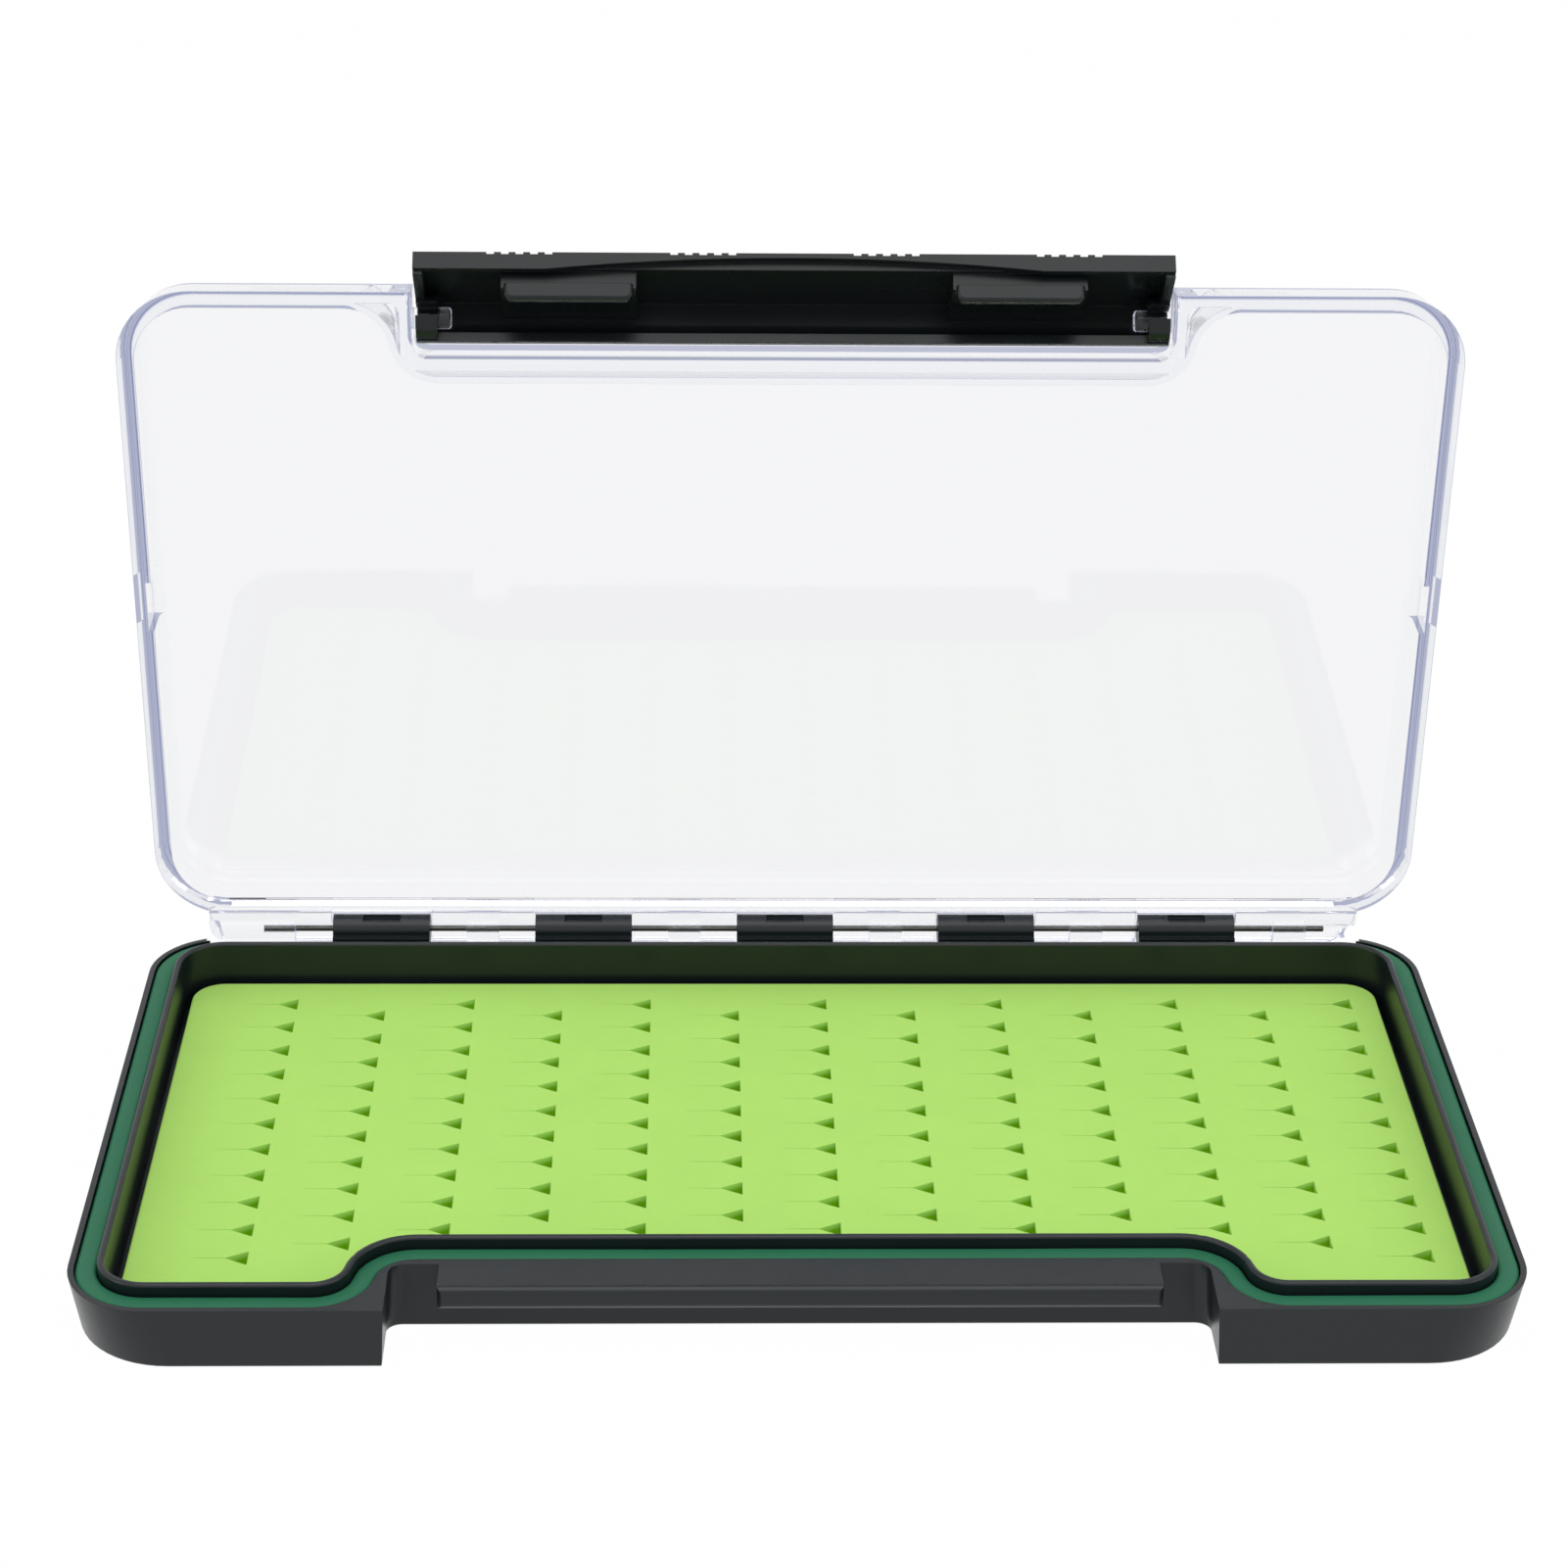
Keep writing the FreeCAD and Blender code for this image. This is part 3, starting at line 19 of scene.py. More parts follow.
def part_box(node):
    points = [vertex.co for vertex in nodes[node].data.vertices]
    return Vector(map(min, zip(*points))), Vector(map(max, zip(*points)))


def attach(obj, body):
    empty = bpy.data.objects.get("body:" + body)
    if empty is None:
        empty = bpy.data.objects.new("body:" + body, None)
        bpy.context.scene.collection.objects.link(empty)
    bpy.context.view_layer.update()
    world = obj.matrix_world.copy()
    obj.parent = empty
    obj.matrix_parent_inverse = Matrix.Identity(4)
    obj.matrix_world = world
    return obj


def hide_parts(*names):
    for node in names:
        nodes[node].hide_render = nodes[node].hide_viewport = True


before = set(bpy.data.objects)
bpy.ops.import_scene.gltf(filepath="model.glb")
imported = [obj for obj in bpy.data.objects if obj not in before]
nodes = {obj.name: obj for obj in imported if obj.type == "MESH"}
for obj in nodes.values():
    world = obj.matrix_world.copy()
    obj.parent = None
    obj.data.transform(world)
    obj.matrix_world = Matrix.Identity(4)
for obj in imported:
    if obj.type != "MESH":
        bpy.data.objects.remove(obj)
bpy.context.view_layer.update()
MM = 0.001
print("pieces in the frame:", sorted(nodes))

# %% [markdown]
# ## Camera
#
# A camera's place can be found by hand, or by fitting a few known edges of the object to the
# picture. The fit is exact to about two pixels, so its numbers are used: where the camera
# stands in front of the box, how far it is turned, and a long lens that keeps the sides of
# the box nearly parallel.

# %% Camera
CAMERA_PLACE = Vector((-13.944, -439.396, 270.976)) * MM
CAMERA_YAW = math.radians(1.578)
CAMERA_PITCH = math.radians(25.816)
CAMERA_ROLL = math.radians(0.771)
IMAGE_WIDTH = 1601
FOCAL_PIXELS = 3759.25
SENSOR_MM = 36.0
NEAREST_SEEN = 0.01
FARTHEST_SEEN = 50.0


def camera_turn(yaw, pitch, roll):
    """Columns are the camera's right, up and back. Forward is yaw to the right of +Y and
    pitch below the horizon. The roll then turns right towards up."""
    forward = Vector((math.sin(yaw) * math.cos(pitch), math.cos(yaw) * math.cos(pitch),
                      -math.sin(pitch)))
    level = Vector((math.cos(yaw), -math.sin(yaw), 0.0))
    rise = level.cross(forward)
    right = math.cos(roll) * level + math.sin(roll) * rise
    up = math.cos(roll) * rise - math.sin(roll) * level
    return Matrix((right, up, -forward)).transposed()


lens = bpy.data.cameras.new("camera")
lens.sensor_width = SENSOR_MM
lens.lens = SENSOR_MM * FOCAL_PIXELS / IMAGE_WIDTH
lens.clip_start = NEAREST_SEEN
lens.clip_end = FARTHEST_SEEN
camera = bpy.data.objects.new("camera", lens)
camera.location = CAMERA_PLACE
camera.rotation_mode = "QUATERNION"
camera.rotation_quaternion = camera_turn(CAMERA_YAW, CAMERA_PITCH, CAMERA_ROLL).to_quaternion()
bpy.context.scene.collection.objects.link(camera)
bpy.context.scene.camera = camera
bpy.context.scene.view_settings.view_transform = "Standard"
print(f"lens: {lens.lens:.1f} mm")

# %% [markdown]
# ## Node helpers
#
# A material is a small net of nodes. A few short helpers keep the net readable: they add a
# node with its settings, feed a socket with a number or with another node's output, and start
# a shader node group with named sockets. A group is built once and then placed in every
# material that needs the effect, with its own values.

# %% Node helpers
FLOAT = "NodeSocketFloat"
COLOUR = "NodeSocketColor"


def add_node(tree, kind, **settings):
    """A new node of the given kind. Settings are attributes of the node."""
    node = tree.nodes.new(kind)
    for name, value in settings.items():
        setattr(node, name, value)
    return node


def set_sockets(node, **values):
    """Plain values for a node's inputs, by name. Underscores stand for spaces."""
    for name, value in values.items():
        node.inputs[name.replace("_", " ")].default_value = value


def feed(tree, socket, value):
    """Give a socket a number, or link another node's output to it."""
    if isinstance(value, (int, float)):
        socket.default_value = value
    else:
        tree.links.new(value, socket)


def math_node(tree, operation, first, second):
    """A Math node fed by outputs or plain numbers. Returns its output."""
    node = add_node(tree, "ShaderNodeMath", operation=operation)
    feed(tree, node.inputs[0], first)
    feed(tree, node.inputs[1], second)
    return node.outputs[0]


def new_group(name, inputs, outputs):
    """A shader node group. Inputs and outputs are {name: (socket kind, default)}."""
    tree = bpy.data.node_groups.new(name, "ShaderNodeTree")
    for side, sockets in (("INPUT", inputs), ("OUTPUT", outputs)):
        for label, (kind, default) in sockets.items():
            socket = tree.interface.new_socket(label, in_out=side, socket_type=kind)
            if default is not None:
                socket.default_value = default
    return tree, add_node(tree, "NodeGroupInput"), add_node(tree, "NodeGroupOutput")


def place_group(tree, group, **values):
    """Put a group in a material with its own values. Underscores stand for spaces."""
    node = add_node(tree, "ShaderNodeGroup", node_tree=group)
    set_sockets(node, **values)
    return node


# %% [markdown]
# Every effect here starts from noise. A noise node's value hardly ever leaves the range from
# 0.3 to 0.7, so a second helper spreads that range over the values that are wanted.

# %% Noise
NOISE_LOW = 0.3
NOISE_HIGH = 0.7


def noise_of(tree, coordinates, scale, detail, roughness):
    """Noise from coordinates in metres. Scale is an output or a number, in cells per metre."""
    node = add_node(tree, "ShaderNodeTexNoise")
    tree.links.new(coordinates, node.inputs["Vector"])
    feed(tree, node.inputs["Scale"], scale)
    set_sockets(node, Detail=detail, Roughness=roughness)
    return node.outputs["Fac"]


def spread(tree, value, low, high):
    """Map a noise value's usual range onto low to high."""
    node = add_node(tree, "ShaderNodeMapRange")
    set_sockets(node, From_Min=NOISE_LOW, From_Max=NOISE_HIGH)
    feed(tree, node.inputs["To Min"], low)
    feed(tree, node.inputs["To Max"], high)
    tree.links.new(value, node.inputs["Value"])
    return node.outputs["Result"]


# %% [markdown]
# ## Moulded skin
#
# Plastic copies the steel of its mould. Seen close, it has a fine, even grain, and over a few
# centimetres the gloss drifts where the plastic flowed and where hands have rubbed it. The
# group makes both from noise on the object's own coordinates, so the pattern stays fixed to
# the piece when it moves.

# %% Moulded skin
FLOW_CELLS = 38.0
SHADE_CELLS = 90.0


def make_moulded_skin():
    """Colour, roughness and height of a moulded surface. The roughness is the gloss plus or
    minus the drift, and the colour is the base times one plus or minus the tint."""
    tree, given, result = new_group(
        "moulded_skin",
        {"Base": (COLOUR, (0.5, 0.5, 0.5, 1.0)), "Gloss": (FLOAT, 0.35),
         "Drift": (FLOAT, 0.08), "Grain Scale": (FLOAT, 3500.0), "Tint": (FLOAT, 0.1)},
        {"Colour": (COLOUR, None), "Roughness": (FLOAT, None), "Height": (FLOAT, None)},
    )
    place = add_node(tree, "ShaderNodeTexCoord").outputs["Object"]
    grain = noise_of(tree, place, given.outputs["Grain Scale"], detail=3.0, roughness=0.6)
    flow = noise_of(tree, place, FLOW_CELLS, detail=4.0, roughness=0.55)
    low = math_node(tree, "SUBTRACT", given.outputs["Gloss"], given.outputs["Drift"])
    high = math_node(tree, "ADD", given.outputs["Gloss"], given.outputs["Drift"])
    rough = spread(tree, flow, low, high)
    tree.links.new(rough, result.inputs["Roughness"])
    patches = noise_of(tree, place, SHADE_CELLS, detail=5.0, roughness=0.6)
    darker = math_node(tree, "SUBTRACT", 1.0, given.outputs["Tint"])
    lighter = math_node(tree, "ADD", 1.0, given.outputs["Tint"])
    shade = spread(tree, patches, darker, lighter)
    shaded = add_node(tree, "ShaderNodeVectorMath", operation="SCALE")
    tree.links.new(given.outputs["Base"], shaded.inputs[0])
    tree.links.new(shade, shaded.inputs["Scale"])
    tree.links.new(shaded.outputs["Vector"], result.inputs["Colour"])
    tree.links.new(grain, result.inputs["Height"])
    return tree


moulded_skin = make_moulded_skin()
print("group made:", moulded_skin.name)

# %% [markdown]
# ## Fine scratches
#
# Clear plastic and drawn steel both carry hair lines that run one way. Noise that is squeezed
# along one axis gives such lines. The group takes how far to squeeze it, so the same lines
# serve the pin, where they are dense, and the lid, where they are nearly invisible.

# %% Fine scratches
def make_fine_scratches():
    """Height and mask of hair lines along X. Squeeze is the ratio of width to length."""
    tree, given, result = new_group(
        "fine_scratches",
        {"Scale": (FLOAT, 2500.0), "Squeeze": (FLOAT, 0.02)},
        {"Height": (FLOAT, None), "Mask": (FLOAT, None)},
    )
    place = add_node(tree, "ShaderNodeTexCoord").outputs["Object"]
    parts = add_node(tree, "ShaderNodeSeparateXYZ")
    tree.links.new(place, parts.inputs[0])
    along = math_node(tree, "MULTIPLY", parts.outputs["X"], given.outputs["Squeeze"])
    squeezed = add_node(tree, "ShaderNodeCombineXYZ")
    tree.links.new(along, squeezed.inputs["X"])
    tree.links.new(parts.outputs["Y"], squeezed.inputs["Y"])
    tree.links.new(parts.outputs["Z"], squeezed.inputs["Z"])
    lines = noise_of(tree, squeezed.outputs[0], given.outputs["Scale"], detail=2.0,
                     roughness=0.7)
    tree.links.new(lines, result.inputs["Height"])
    tree.links.new(spread(tree, lines, low=0.0, high=1.0), result.inputs["Mask"])
    return tree


fine_scratches = make_fine_scratches()
print("group made:", fine_scratches.name)

# %% [markdown]
# ## Materials
#
# Each material is one Principled BSDF fed by a group. Numbers that are the same all over a
# surface stay on the shader's own sockets. A Bevel node rounds the light on the edges that
# the CAD solids leave sharp, because a moulded edge always has a small radius.

# %% Material helpers
BEVEL_SAMPLES = 4


def new_material(name):
    """An empty node material, with its tree, shader and output."""
    material = bpy.data.materials.new(name)
    material.use_nodes = True
    tree = material.node_tree
    tree.nodes.clear()
    shader = add_node(tree, "ShaderNodeBsdfPrincipled")
    output = add_node(tree, "ShaderNodeOutputMaterial")
    tree.links.new(shader.outputs[0], output.inputs["Surface"])
    return material, tree, shader, output


def mix_colours(tree, share, first, second):
    """The first colour where share is zero, and the second where it is one."""
    mix = add_node(tree, "ShaderNodeMix", data_type="RGBA")
    set_sockets(mix, A=first, B=second)
    tree.links.new(share, mix.inputs["Factor"])
    return mix.outputs["Result"]


def mix_shaders(tree, share, first, second):
    """The first node's shader where share is zero, and the second's where it is one."""
    mix = add_node(tree, "ShaderNodeMixShader")
    for socket, source in zip(mix.inputs, (share, first.outputs[0], second.outputs[0])):
        tree.links.new(source, socket)
    return mix


def bump_from(tree, shader, height, depth, edge_radius):
    """Height from zero to one as a bump of depth metres, over edges rounded to edge_radius."""
    edge = add_node(tree, "ShaderNodeBevel", samples=BEVEL_SAMPLES)
    set_sockets(edge, Radius=edge_radius)
    bump = add_node(tree, "ShaderNodeBump")
    set_sockets(bump, Distance=depth, Strength=1.0)
    tree.links.new(height, bump.inputs["Height"])
    tree.links.new(edge.outputs["Normal"], bump.inputs["Normal"])
    tree.links.new(bump.outputs["Normal"], shader.inputs["Normal"])


# %% [markdown]
# The tray and the latch are the same very dark green plastic. It reads as black until it
# stands beside something neutral. Nearly all that the eye sees of it is the white studio
# mirrored in a satin surface, so its look depends on how much it mirrors and how softly.

# %% Dark plastics
GRAIN_DEPTH = 0.004 * MM
PLASTIC_IOR = 1.5
TRAY_BLACK = (0.0058, 0.0096, 0.012, 1.0)
LATCH_BLACK = (0.0056, 0.0082, 0.0092, 1.0)


def wear_skin(tree, shader, skin, edge_radius):
    """Feed a shader from a moulded skin placed in its tree."""
    tree.links.new(skin.outputs["Colour"], shader.inputs["Base Color"])
    tree.links.new(skin.outputs["Roughness"], shader.inputs["Roughness"])
    bump_from(tree, shader, skin.outputs["Height"], GRAIN_DEPTH, edge_radius)


def moulded_plastic(name, base, gloss, mirror, edge_radius):
    """A moulded plastic with grain, drifting gloss and soft edges. Mirror is how much of the
    studio it throws back."""
    material, tree, shader, _ = new_material(name)
    skin = place_group(tree, moulded_skin, Base=base, Gloss=gloss, Drift=0.05)
    set_sockets(shader, IOR=PLASTIC_IOR, Specular_IOR_Level=mirror)
    wear_skin(tree, shader, skin, edge_radius)
    return material


tray_plastic = moulded_plastic("tray_plastic", TRAY_BLACK, gloss=0.32, mirror=0.4,
                               edge_radius=0.18 * MM)
latch_plastic = moulded_plastic("latch_plastic", LATCH_BLACK, gloss=0.27, mirror=0.3,
                                edge_radius=0.15 * MM)
print("dark plastics:", tray_plastic.name, latch_plastic.name)

# %% [markdown]
# Silicone is soft and slightly see-through, so light that enters one side of a slit comes out
# of the other side greener. Subsurface scattering with a short reach gives that. Far down in a
# pocket the colour is painted a deeper, darker green. This is painted shade and painted bounce
# light, for light that has met the rubber many times there. Dust and a faint bloom on the skin
# make the gloss uneven.

# %% Silicones
SILICONE_IOR = 1.41
SCATTER_RADIUS = (0.8, 1.0, 0.3)
LIME = (0.485, 0.83, 0.178, 1.0)
# Painted shade: the darker green painted far down in the pockets. It fades out between the two
# heights below.
POCKET_PAINTED_SHADE = (0.19, 0.48, 0.0, 1.0)
SEAL_GREEN = (0.023, 0.165, 0.083, 1.0)
PAINTED_SHADE_FROM = 2.8 * MM
PAINTED_SHADE_TO = 3.97 * MM


def painted_shade_by_height(tree, painted_shade_colour, high_colour):
    """Painted shade: a colour that changes softly with the height over the underside of the
    box, from the painted shade colour low down to the sheet's own colour high up.
    """
    parts = add_node(tree, "ShaderNodeSeparateXYZ")
    place = add_node(tree, "ShaderNodeTexCoord").outputs["Object"]
    tree.links.new(place, parts.inputs[0])
    share = add_node(tree, "ShaderNodeMapRange", interpolation_type="SMOOTHSTEP")
    set_sockets(share, From_Min=PAINTED_SHADE_FROM, From_Max=PAINTED_SHADE_TO)
    tree.links.new(parts.outputs["Z"], share.inputs["Value"])
    return mix_colours(tree, share.outputs["Result"], painted_shade_colour, high_colour)


def silicone(name, base, gloss, reach, weight, mirror, painted_shade=None):
    """Soft rubber: a moulded skin over a body that scatters light for reach metres. Weight is
    how much of the light enters it and mirror how much bounces off the skin. The last
    argument, when given, is painted shade: a darker green painted far down in a pocket."""
    material, tree, shader, _ = new_material(name)
    skin = place_group(tree, moulded_skin, Base=base, Gloss=gloss, Drift=0.06,
                       Grain_Scale=2200.0, Tint=0.018)
    # Painted shade: darker and greener lower down in the pockets.
    if painted_shade:
        tree.links.new(painted_shade_by_height(tree, painted_shade, base), skin.inputs["Base"])
    set_sockets(shader, IOR=SILICONE_IOR, Specular_IOR_Level=mirror, Subsurface_Weight=weight,
                Subsurface_Scale=reach, Subsurface_Radius=SCATTER_RADIUS)
    wear_skin(tree, shader, skin, edge_radius=0.1 * MM)
    return material


insert_silicone = silicone("insert_silicone", LIME, gloss=0.62, reach=0.6 * MM, weight=0.25,
                           mirror=0.12, painted_shade=POCKET_PAINTED_SHADE)
seal_rubber = silicone("seal_rubber", SEAL_GREEN, gloss=0.5, reach=0.2 * MM, weight=0.1,
                       mirror=0.3)
print("silicones:", insert_silicone.name, seal_rubber.name)

# %% [markdown]
# The pin is drawn steel wire. Drawing leaves lines along its length that break up its
# highlight. It lies in a narrow bore between dark knuckles that take most of its light away,
# so both of its tints are painted darker than bare steel: painted shade.

# %% Drawn steel
# Painted shade: both steel tints are darkened for the shade of the bore.
DARK_SHADED_STEEL = (0.07, 0.075, 0.065, 1.0)
PALE_SHADED_STEEL = (0.17, 0.17, 0.155, 1.0)


def drawn_steel():
    """Steel wire with lines along X, in two tints darkened by painted shade."""
    material, tree, shader, _ = new_material("pin_steel")
    lines = place_group(tree, fine_scratches, Scale=9000.0, Squeeze=0.01)
    set_sockets(shader, Metallic=1.0)
    tint = mix_colours(tree, lines.outputs["Mask"], DARK_SHADED_STEEL, PALE_SHADED_STEEL)
    tree.links.new(tint, shader.inputs["Base Color"])
    rough = spread(tree, lines.outputs["Height"], low=0.18, high=0.36)
    tree.links.new(rough, shader.inputs["Roughness"])
    bump_from(tree, shader, lines.outputs["Height"], depth=0.003 * MM,
              edge_radius=0.05 * MM)
    return material


pin_steel = drawn_steel()
print("steel:", pin_steel.name)

# %% [markdown]
# The lid is clear polycarbonate. Its panel shows almost nothing, and the eye finds it by its
# edges, where light travels a long way inside and comes out bluish. A little absorption in the
# volume does that. Light that only passes through on its way to the tray goes straight on:
# real clear plastic throws nearly no shadow, and a plain glass shader would throw a dark one.
# Light that is caught between the walls goes round many times before it comes out. So after a
# few turns its path ends in a painted glow, and the lid glows there in a pale grey blue that
# stands for the average of what the light meets.

# %% Clear plastic
CLEAR_IOR = 1.58
CLEAR_TINT = (0.92, 0.921, 0.932, 1.0)
CLEAR_MIRROR = (0.4, 0.4, 0.42, 1.0)
SHADOW_TINT = (0.95, 0.955, 0.96, 1.0)
PAINTED_TRAPPED_GLOW = (0.5, 0.52, 0.64, 1.0)
INSIDE_TINT = (0.55, 0.6, 0.8, 1.0)
INSIDE_DENSITY = 20.0
MOST_MIRROR_TURNS = 2.5
MOST_TURNS = 8.5


def painted_glow_share(tree, ray):
    """Where the painted glow takes over: one for light that has turned too often to be
    followed, else zero.
    """
    mirrored = math_node(tree, "GREATER_THAN", ray.outputs["Glossy Depth"], MOST_MIRROR_TURNS)
    turned = math_node(tree, "GREATER_THAN", ray.outputs["Ray Depth"], MOST_TURNS)
    return math_node(tree, "MAXIMUM", mirrored, turned)


def clear_plastic():
    """Clear polycarbonate whose edges are tinted by the length of the light's path. Light that
    has turned too often ends in a painted pale grey blue glow.
    """
    material, tree, shader, output = new_material("clear_plastic")
    hairs = place_group(tree, fine_scratches, Scale=700.0, Squeeze=0.05)
    set_sockets(shader, Base_Color=CLEAR_TINT, Transmission_Weight=1.0, IOR=CLEAR_IOR,
                Specular_Tint=CLEAR_MIRROR)
    rough = spread(tree, hairs.outputs["Height"], low=0.0, high=0.035)
    tree.links.new(rough, shader.inputs["Roughness"])
    bump_from(tree, shader, hairs.outputs["Height"], depth=0.0015 * MM,
              edge_radius=0.2 * MM)
    passing = add_node(tree, "ShaderNodeBsdfTransparent")
    set_sockets(passing, Color=SHADOW_TINT)
    ray = add_node(tree, "ShaderNodeLightPath")
    straight = math_node(tree, "MAXIMUM", ray.outputs["Is Shadow Ray"],
                         ray.outputs["Is Diffuse Ray"])
    body = mix_shaders(tree, straight, shader, passing)
    # Painted glow: a pale grey blue emission where the light has turned too often.
    painted_glow = add_node(tree, "ShaderNodeEmission")
    set_sockets(painted_glow, Color=PAINTED_TRAPPED_GLOW)
    surface = mix_shaders(tree, painted_glow_share(tree, ray), body, painted_glow)
    tree.links.new(surface.outputs[0], output.inputs["Surface"])
    inside = add_node(tree, "ShaderNodeVolumeAbsorption")
    set_sockets(inside, Color=INSIDE_TINT, Density=INSIDE_DENSITY)
    tree.links.new(inside.outputs[0], output.inputs["Volume"])
    return material


clear_lid = clear_plastic()
print("clear plastic:", clear_lid.name)

# %% [markdown]
# ## Dressing the hard pieces
#
# The tray, the lid, the latch and the pin already have the right shape, so they only get
# their material.

# %% Dress the hard pieces
FINISHES = {
    "tray": tray_plastic,
    "lid": clear_lid,
    "latch": latch_plastic,
    "hinge_pin": pin_steel,
}
for label, material in FINISHES.items():
    nodes[label].data.materials.clear()
    nodes[label].data.materials.append(material)
    print(label, "wears", material.name)

# %% [markdown]
# ## The line that the rubber follows
#
# The seal, its channel and the rubber sheet all follow one closed line: a rectangle with
# round corners, whose front steps back round the latch in two S-bends. Its arcs keep their
# centres when the line is moved in, so every line parallel to it comes from the same formula:
# a point of the outer line plus the inset times the inward normal.

# %% Ring line
HALF_LENGTH = round(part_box("tray")[1][0] / MM, 2)
HALF_DEPTH = round(-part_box("tray")[0][1] / MM, 2)
CORNER_RADIUS = 10.6
SEAL_MIDDLE = 2.3
BEND_RADIUS = 6.5
BEND_PLACE = 62.4
SETBACK = 11.0
SAME_PLACE = 1e-6
print(f"outer line: {2 * HALF_LENGTH:.1f} x {2 * HALF_DEPTH:.1f} mm")


def ring_pieces():
    """The arcs of the outer line, counter clockwise, in mm, as (centre x, centre y, radius,
    start, end). An arc is hollow if it ends before it starts. Both arcs of an S-bend turn by
    the same sweep, and the line steps back by the sum of their radii times one minus its
    cosine."""
    wide = BEND_RADIUS + SEAL_MIDDLE
    tight = BEND_RADIUS - SEAL_MIDDLE
    sweep = math.acos(1 - SETBACK / (wide + tight))
    near = BEND_PLACE - (wide + tight) * math.sin(sweep)
    notch = SETBACK - HALF_DEPTH
    low, high = wide - HALF_DEPTH, notch - tight
    x, y, r = HALF_LENGTH - CORNER_RADIUS, HALF_DEPTH - CORNER_RADIUS, CORNER_RADIUS
    turn = math.pi / 2
    return [
        (x, y, r, 0, turn), (-x, y, r, turn, 2 * turn), (-x, -y, r, 2 * turn, 3 * turn),
        (-BEND_PLACE, low, wide, 3 * turn, 3 * turn + sweep),
        (-near, high, tight, turn + sweep, turn), (near, high, tight, turn, turn - sweep),
        (BEND_PLACE, low, wide, 3 * turn - sweep, 3 * turn), (x, -y, r, 3 * turn, 4 * turn),
    ]


def ring_line(arc_steps, line_step):
    """Points and inward normals of the outer line. On an arc the point is the centre plus the
    radius times the direction, and the normal points to the centre, or away from it on a
    hollow arc. Between two arcs the line is straight and keeps the normal."""
    points, normals = [], []
    arcs = ring_pieces()
    for arc, after in zip(arcs, arcs[1:] + arcs[:1]):
        cx, cy, radius, start, end = arc
        angle = np.linspace(start, end, arc_steps + 1)
        way = np.stack([np.cos(angle), np.sin(angle)], 1)
        points.append(np.array([cx, cy]) + radius * way)
        normals.append(way if end < start else -way)
        first = points[-1][-1]
        next_way = np.array([math.cos(after[3]), math.sin(after[3])])
        last = np.array(after[:2]) + after[2] * next_way
        length = np.linalg.norm(last - first)
        count = max(int(length / line_step), 1)
        if length < SAME_PLACE:
            points[-1], normals[-1] = points[-1][:-1], normals[-1][:-1]
            continue
        share = np.linspace(0, 1, count + 1)[1:-1, None]
        points.append(first + (last - first) * share)
        normals.append(np.repeat(normals[-1][-1:], count - 1, 0))
    return np.concatenate(points), np.concatenate(normals)


# %% [markdown]
# Both rubber pieces become a mesh in the same way: an array of points, lists of faces, and
# normals turned outwards. Each rides on the base and wears its material. A band of quads joins
# two closed rings that have the same number of points.

# %% Mesh helpers
def mesh_piece(name, points, faces, material):
    """A piece of the base from an array of points in mm and lists of faces."""
    mesh = bpy.data.meshes.new(name)
    mesh.from_pydata(np.asarray(points, float) * MM, [], faces)
    work = bmesh.new()
    work.from_mesh(mesh)
    bmesh.ops.recalc_face_normals(work, faces=work.faces)
    work.to_mesh(mesh)
    work.free()
    mesh.materials.append(material)
    piece = bpy.data.objects.new(name, mesh)
    bpy.context.scene.collection.objects.link(piece)
    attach(piece, "base")
    print(f"{name}: {len(mesh.vertices)} points, {len(mesh.polygons)} faces")
    return piece


def band_faces(first, second):
    """Quads between two closed rings of point numbers of the same length."""
    return np.stack([first, np.roll(first, -1), np.roll(second, -1), second], 1).tolist()


# %% [markdown]
# ## Seal
#
# The seal is one rubber ring that lies in the channel round the tray. On the real box its top
# is slightly crowned, with soft shoulders, and it never lies perfectly level. It is made as a
# profile carried along the ring line: the profile gives an inset and a height, and the line
# gives the point and the normal.

# %% Seal
SEAL_BOTTOM = round(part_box("seal")[0][2] / MM, 2)
SEAL_TOP = 8.5
SEAL_HALF_WIDTH = 1.42
SEAL_SHOULDER = 0.5
SEAL_CROWN = 0.12
SEAL_SINK = 0.04
SEAL_WAVES = ((0.02, 7, 0.6), (0.015, 17, 0.0))


def seal_profile(steps):
    """Closed profile of (across, height): upright sides, shoulders that are quarter
    circles, and a top that rises by the crown as one minus the square of the way across."""
    quarter = np.linspace(0, math.pi / 2, steps)
    flat = SEAL_HALF_WIDTH - SEAL_SHOULDER
    level = SEAL_TOP - SEAL_SHOULDER - SEAL_CROWN
    right = np.stack([flat + SEAL_SHOULDER * np.cos(quarter),
                      level + SEAL_SHOULDER * np.sin(quarter)], 1)
    across = np.linspace(flat, -flat, steps + 2)[1:-1]
    top = np.stack([across, level + SEAL_SHOULDER + 0 * across], 1)
    left = right[::-1] * (-1, 1)
    feet = np.array([[-SEAL_HALF_WIDTH, SEAL_BOTTOM], [SEAL_HALF_WIDTH, SEAL_BOTTOM]])
    profile = np.concatenate([right, top, left, feet])
    crown = SEAL_CROWN * (1 - (profile[:, 0] / SEAL_HALF_WIDTH) ** 2)
    profile[:, 1] += np.where(profile[:, 1] > SEAL_BOTTOM, crown, 0)
    return profile


def seal_wave(count):
    """How far the top rises along the ring: a sum of sines, each given as its height in mm,
    its number of waves round the ring and its start."""
    run = np.linspace(0, 2 * math.pi, count, endpoint=False)
    return sum(height * np.sin(waves * run + start) for height, waves, start in SEAL_WAVES)


